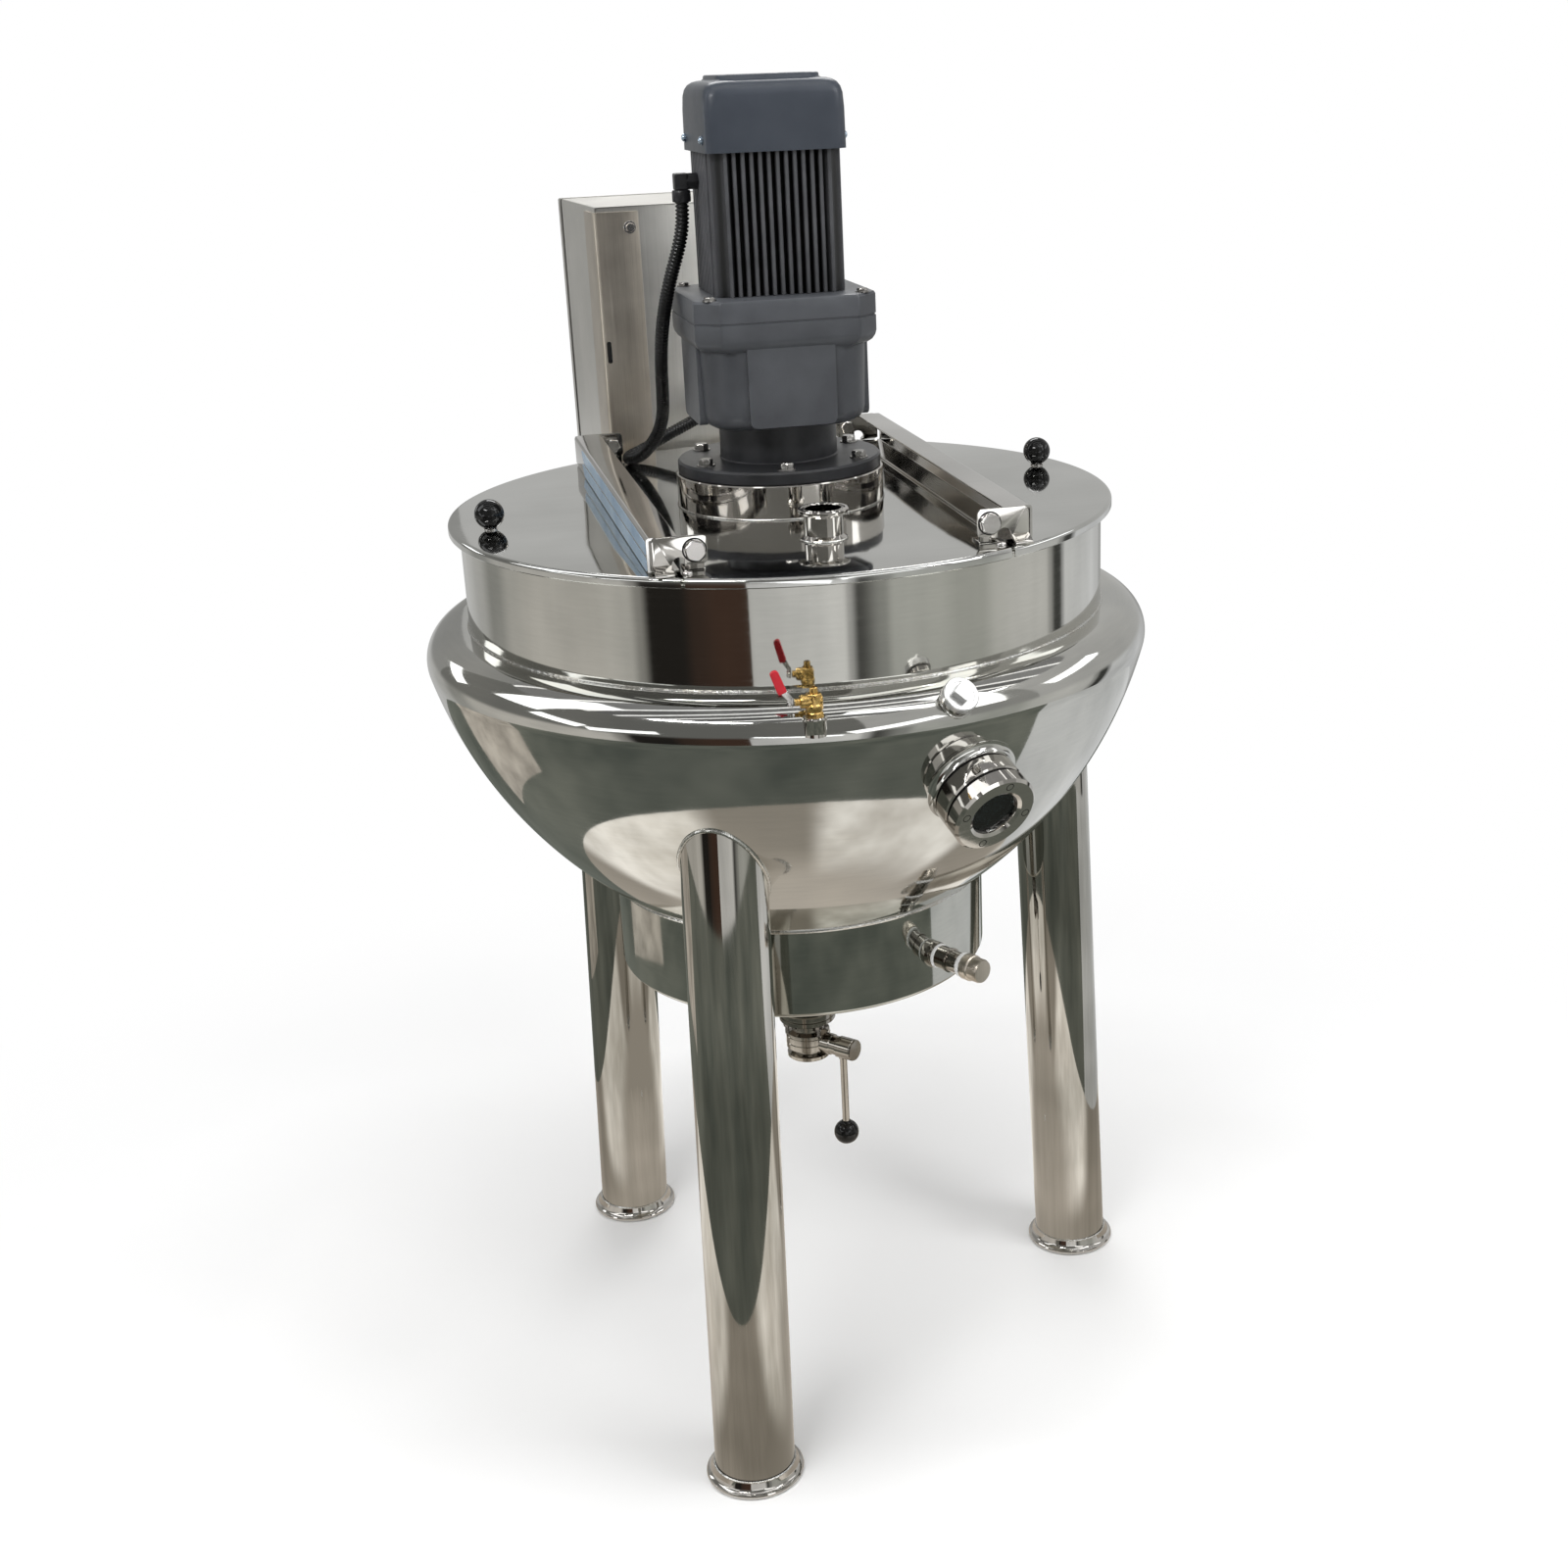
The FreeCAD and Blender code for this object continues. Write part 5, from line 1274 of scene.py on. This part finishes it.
class Glow(Finish):
    """A self-lit studio card."""

    def __init__(self, name, dark, light, scale=0.8):
        super().__init__(name, None)
        self.colour = self.ramp(self.noise(self.place(), scale, 3.0, 0.6), (0.35, dark), (0.65, light))

    def fade(self, value, start, end, other):
        """Turn softly into another colour as a value goes from start to end."""
        values = {"Value": value, "From Min": start, "From Max": end}
        share = self.node("ShaderNodeMapRange", {"interpolation_type": "SMOOTHSTEP"}, values)
        self.colour = self.mix(share, self.colour, other)

    def turn_from(self, degrees):
        """Turn about the axis from a given direction, in radians."""
        place = self.place()
        dot = {"operation": "DOT_PRODUCT"}
        ahead, left = [self.node("ShaderNodeVectorMath", dot, {0: place, 1: polar(1, turn)}, 1)
                       for turn in (degrees, degrees + 90)]
        return self.node("ShaderNodeMath", {"operation": "ARCTAN2"}, {0: left, 1: ahead})

    def lit(self, strength=1.0):
        shine = self.tree.nodes.new("ShaderNodeEmission")
        shine.inputs["Strength"].default_value = strength
        self.tree.links.new(self.colour.socket, shine.inputs["Color"])
        self.tree.links.new(shine.outputs[0], self.tree.nodes["Material Output"].inputs["Surface"])
        return self.material


def stage_mesh(name, vertices, faces, material):
    mesh = bpy.data.meshes.new(name)
    mesh.from_pydata([Vector(v) + axis for v in vertices], [], faces)
    mesh.materials.append(material)
    piece = linked(name, mesh)
    return piece


def reflected_only(piece):
    """Kept for the polished steel's reflections: it lights and shades nothing."""
    piece.visible_camera = piece.visible_diffuse = piece.visible_shadow = False
    piece.visible_transmission = piece.visible_volume_scatter = False


def ring_card(name, first, last, low, high, material):
    """Part of a cone round the axis, between two (radius, level) circles."""
    steps = max(2, round((last - first) / 4))
    turns = [first + (last - first) * i / steps for i in range(steps + 1)]
    rows = [polar(low[0], t, low[1]) for t in turns] + [polar(high[0], t, high[1]) for t in turns]
    faces = [(i, i + 1, steps + 2 + i, steps + 1 + i) for i in range(steps)]
    reflected_only(stage_mesh(name, rows, faces, material))


def wall_cards():
    for i, (name, first, last, soft, colour, above) in enumerate(cards):
        card = Glow(name, tuple(0.80 * c for c in colour), colour)
        turn, half = card.turn_from((first + last) / 2), math.radians((last - first) / 2)
        before, after = cards[(i + 1) % len(cards)][4], cards[i - 1][4]
        for side, share, other in ((-1, soft[0], before), (1, soft[1], after)):
            if share:
                card.fade(turn, side * (half - math.radians(share)), side * half, blend(colour, other))
        card.fade(card.parts(card.place())[2], 0.80, 1.15, above)
        ring_card(name, first, last, (cards_radius, cards_low), (cards_radius, cards_top), card.lit())


def floor_cards():
    green = Glow("green_floor", (0.112, 0.124, 0.108), (0.210, 0.220, 0.190), 0.9).lit()
    pale = Glow("pale_floor", (0.62, 0.63, 0.63), (0.78, 0.79, 0.79), 0.9).lit()
    beige = Glow("beige_mat", (0.36, 0.33, 0.29), (0.66, 0.61, 0.54), 3.0).lit()
    for name, first, last, near, far, material in (
            ("floor_front", -166, -20, near_floor_radius, cards_radius, green),
            ("floor_right", -20, 50, near_floor_radius, cards_radius, pale),
            ("floor_rear", 50, 132, near_floor_radius, cards_radius, green),
            ("floor_before_beige", 132, 166, near_floor_radius, 1.45, green),
            ("floor_beige", 132, 166, 1.45, cards_radius, beige),
            ("floor_left", 166, 194, near_floor_radius, cards_radius, green)):
        ring_card(name, first, last, (near, cards_low), (far, cards_low), material)
    near = Glow("near_floor", (0.66, 0.62, 0.56), (1.0, 0.96, 0.90), 2.4)
    radius, turn, _ = near.round_the_axis()
    # Painted shade on this reflected floor near each leg, and a painted shadow darkening it towards the axis
    # under the kettle.
    from_leg = (turn - math.radians(leg_angles["right"])) * 3
    toward_leg_shade = near.node("ShaderNodeMath", {"operation": "COSINE"}, {0: from_leg})
    near.fade(toward_leg_shade, 0.1, 0.7, (0.31, 0.28, 0.24))
    near.fade(radius, 0.62, 0.30, (0.46, 0.42, 0.37))
    ring_card("floor_near", 0, 360, (0.01, cards_low), (near_floor_radius, cards_low), near.lit(1.35))


def ceiling_cards():
    tubes = [-3.4, -2.5, -1.75, -1.1, -0.3, 0.9, 2.45]
    tube_width, half = 0.16, ceiling_half
    edges = [-half] + [edge for y in tubes for edge in (y, y + tube_width)] + [half]
    for i, (first, last) in enumerate(zip(edges, edges[1:])):
        shade = 1.0 if i % 2 else (0.18, 0.24, 0.16, 0.28, 0.20, 0.36, 0.28, 0.34)[i // 2]
        corners = ((-half, first), (half, first), (half, last), (-half, last))
        strip = [(x, y, ceiling_level) for x, y in corners]
        material = Glow("ceiling_card", (shade * 0.85,) * 3, (shade,) * 3).lit(1.0 + i % 2)
        reflected_only(stage_mesh("ceiling_card", strip, [(0, 1, 2, 3)], material))
    for start, end, width in panels:
        ends = [polar(*start), polar(*end)]
        along = (ends[1] - ends[0]).normalized()
        across = along.cross(Vector((0, 0, 1.1)) - ends[0]).normalized() * width / 2
        strip = [ends[0] - across, ends[1] - across, ends[1] + across, ends[0] + across]
        material = Glow("lamp_panel", (0.94, 0.97, 1.0), (1.0, 1.0, 1.0)).lit(2.4)
        reflected_only(stage_mesh("lamp_panel", strip, [(0, 1, 2, 3)], material))


def white_floor():
    """Pale floor that keeps the shadow near the kettle and fades to white."""
    finish = Finish("floor_white", None, Roughness=0.9)
    radius = finish.round_the_axis()[0]
    cloud = finish.noise(finish.place(), 0.6, 2.0)
    finish.feed("Base Color", finish.ramp(cloud, (0.3, (0.80, 0.80, 0.80)), (0.7, (0.84, 0.84, 0.84))))
    white = finish.tree.nodes.new("ShaderNodeEmission")
    fade = finish.tree.nodes.new("ShaderNodeMixShader")
    away = finish.node("ShaderNodeMapRange", {"interpolation_type": "SMOOTHSTEP"},
                       {"Value": radius, "From Min": 0.9, "From Max": 2.0})
    links = finish.tree.links
    links.new(away.socket, fade.inputs[0])
    links.new(finish.shader.outputs[0], fade.inputs[1])
    links.new(white.outputs[0], fade.inputs[2])
    links.new(fade.outputs[0], finish.tree.nodes["Material Output"].inputs["Surface"])
    size = 30
    corners = [(-size, -size, -0.0005), (size, -size, -0.0005), (size, size, -0.0005), (-size, size, -0.0005)]
    stage_mesh("floor", corners, [(0, 1, 2, 3)], finish.material)


def lamp(name, place, aim, size, watts):
    light = bpy.data.lights.new(name, "AREA")
    light.shape, light.size, light.size_y = "RECTANGLE", size[0], size[1]
    light.energy = watts
    obj = linked(name, light)
    obj.location = Vector(place) + axis
    obj.rotation_mode = "QUATERNION"
    obj.rotation_quaternion = (Vector(aim) - Vector(place)).to_track_quat("-Z", "Y")


def studio():
    white_floor()
    wall_cards()
    floor_cards()
    ceiling_cards()
    lamp("key", (-2.0, -2.2, 3.6), (0, 0, 1.0), (1.8, 0.25), 60)
    lamp("fill", (2.2, -1.8, 3.4), (0, 0, 0.9), (1.6, 0.25), 40)
    lamp("top", (0, -0.6, 4.2), (0, 0, 1.0), (2.6, 0.3), 60)
    lamp("rear", (0.5, 2.6, 3.6), (0, 0, 1.2), (2.0, 0.8), 40)
    world = bpy.data.worlds.new("studio")
    bpy.context.scene.world = world
    world.use_nodes = True
    tree = world.node_tree
    tree.nodes.clear()
    path = tree.nodes.new("ShaderNodeLightPath")
    either = path.outputs["Is Camera Ray"]
    for ray in ("Is Glossy Ray", "Is Transmission Ray"):
        seen = tree.nodes.new("ShaderNodeMath")
        seen.operation = "MAXIMUM"
        tree.links.new(either, seen.inputs[0])
        tree.links.new(path.outputs[ray], seen.inputs[1])
        either = seen.outputs[0]
    mixed = tree.nodes.new("ShaderNodeMixShader")
    tree.links.new(either, mixed.inputs[0])
    for slot, strength in ((1, 0.62), (2, 1.0)):
        light = tree.nodes.new("ShaderNodeBackground")
        light.inputs["Color"].default_value = (1, 1, 1, 1)
        light.inputs["Strength"].default_value = strength
        tree.links.new(light.outputs[0], mixed.inputs[slot])
    out = tree.nodes.new("ShaderNodeOutputWorld")
    tree.links.new(mixed.outputs[0], out.inputs["Surface"])
    bpy.context.scene.view_settings.view_transform = "Standard"


def camera():
    data = bpy.data.cameras.new("camera")
    data.sensor_width, data.lens, data.shift_x = 36.0, 46.0, -0.0625
    cam = bpy.data.objects.new("camera", data)
    right = Vector((0.966931, -0.252931, -0.032716))
    up = Vector((0.115939, 0.321673, 0.939724))
    back = -Vector((0.227161, 0.912440, -0.340360))
    cam.matrix_world = Matrix.Translation(axis + Vector((-0.5538, -2.7563, 1.8942))) @ Matrix(
        (right, up, back)).transposed().to_4x4()
    bpy.context.scene.collection.objects.link(cam)
    bpy.context.scene.camera = cam


pot()
jacket()
drum()
stand()
lid()
channel(-1, "left")
channel(1, "right")
films()
brackets(-1, "left")
brackets(1, "right")
lugs()
knob(-1, "left", -0.040)
knob(1, "right", 0.085)
pedestal()
gearbox()
motor()
hood()
ferrule()
cock()
cock_lever()
filler()
sight()
drain()
outlet()
handle()
control_box()
posts()
conduit()
glands()
finish_node("agitator", shaft_steel)
studio()
camera()
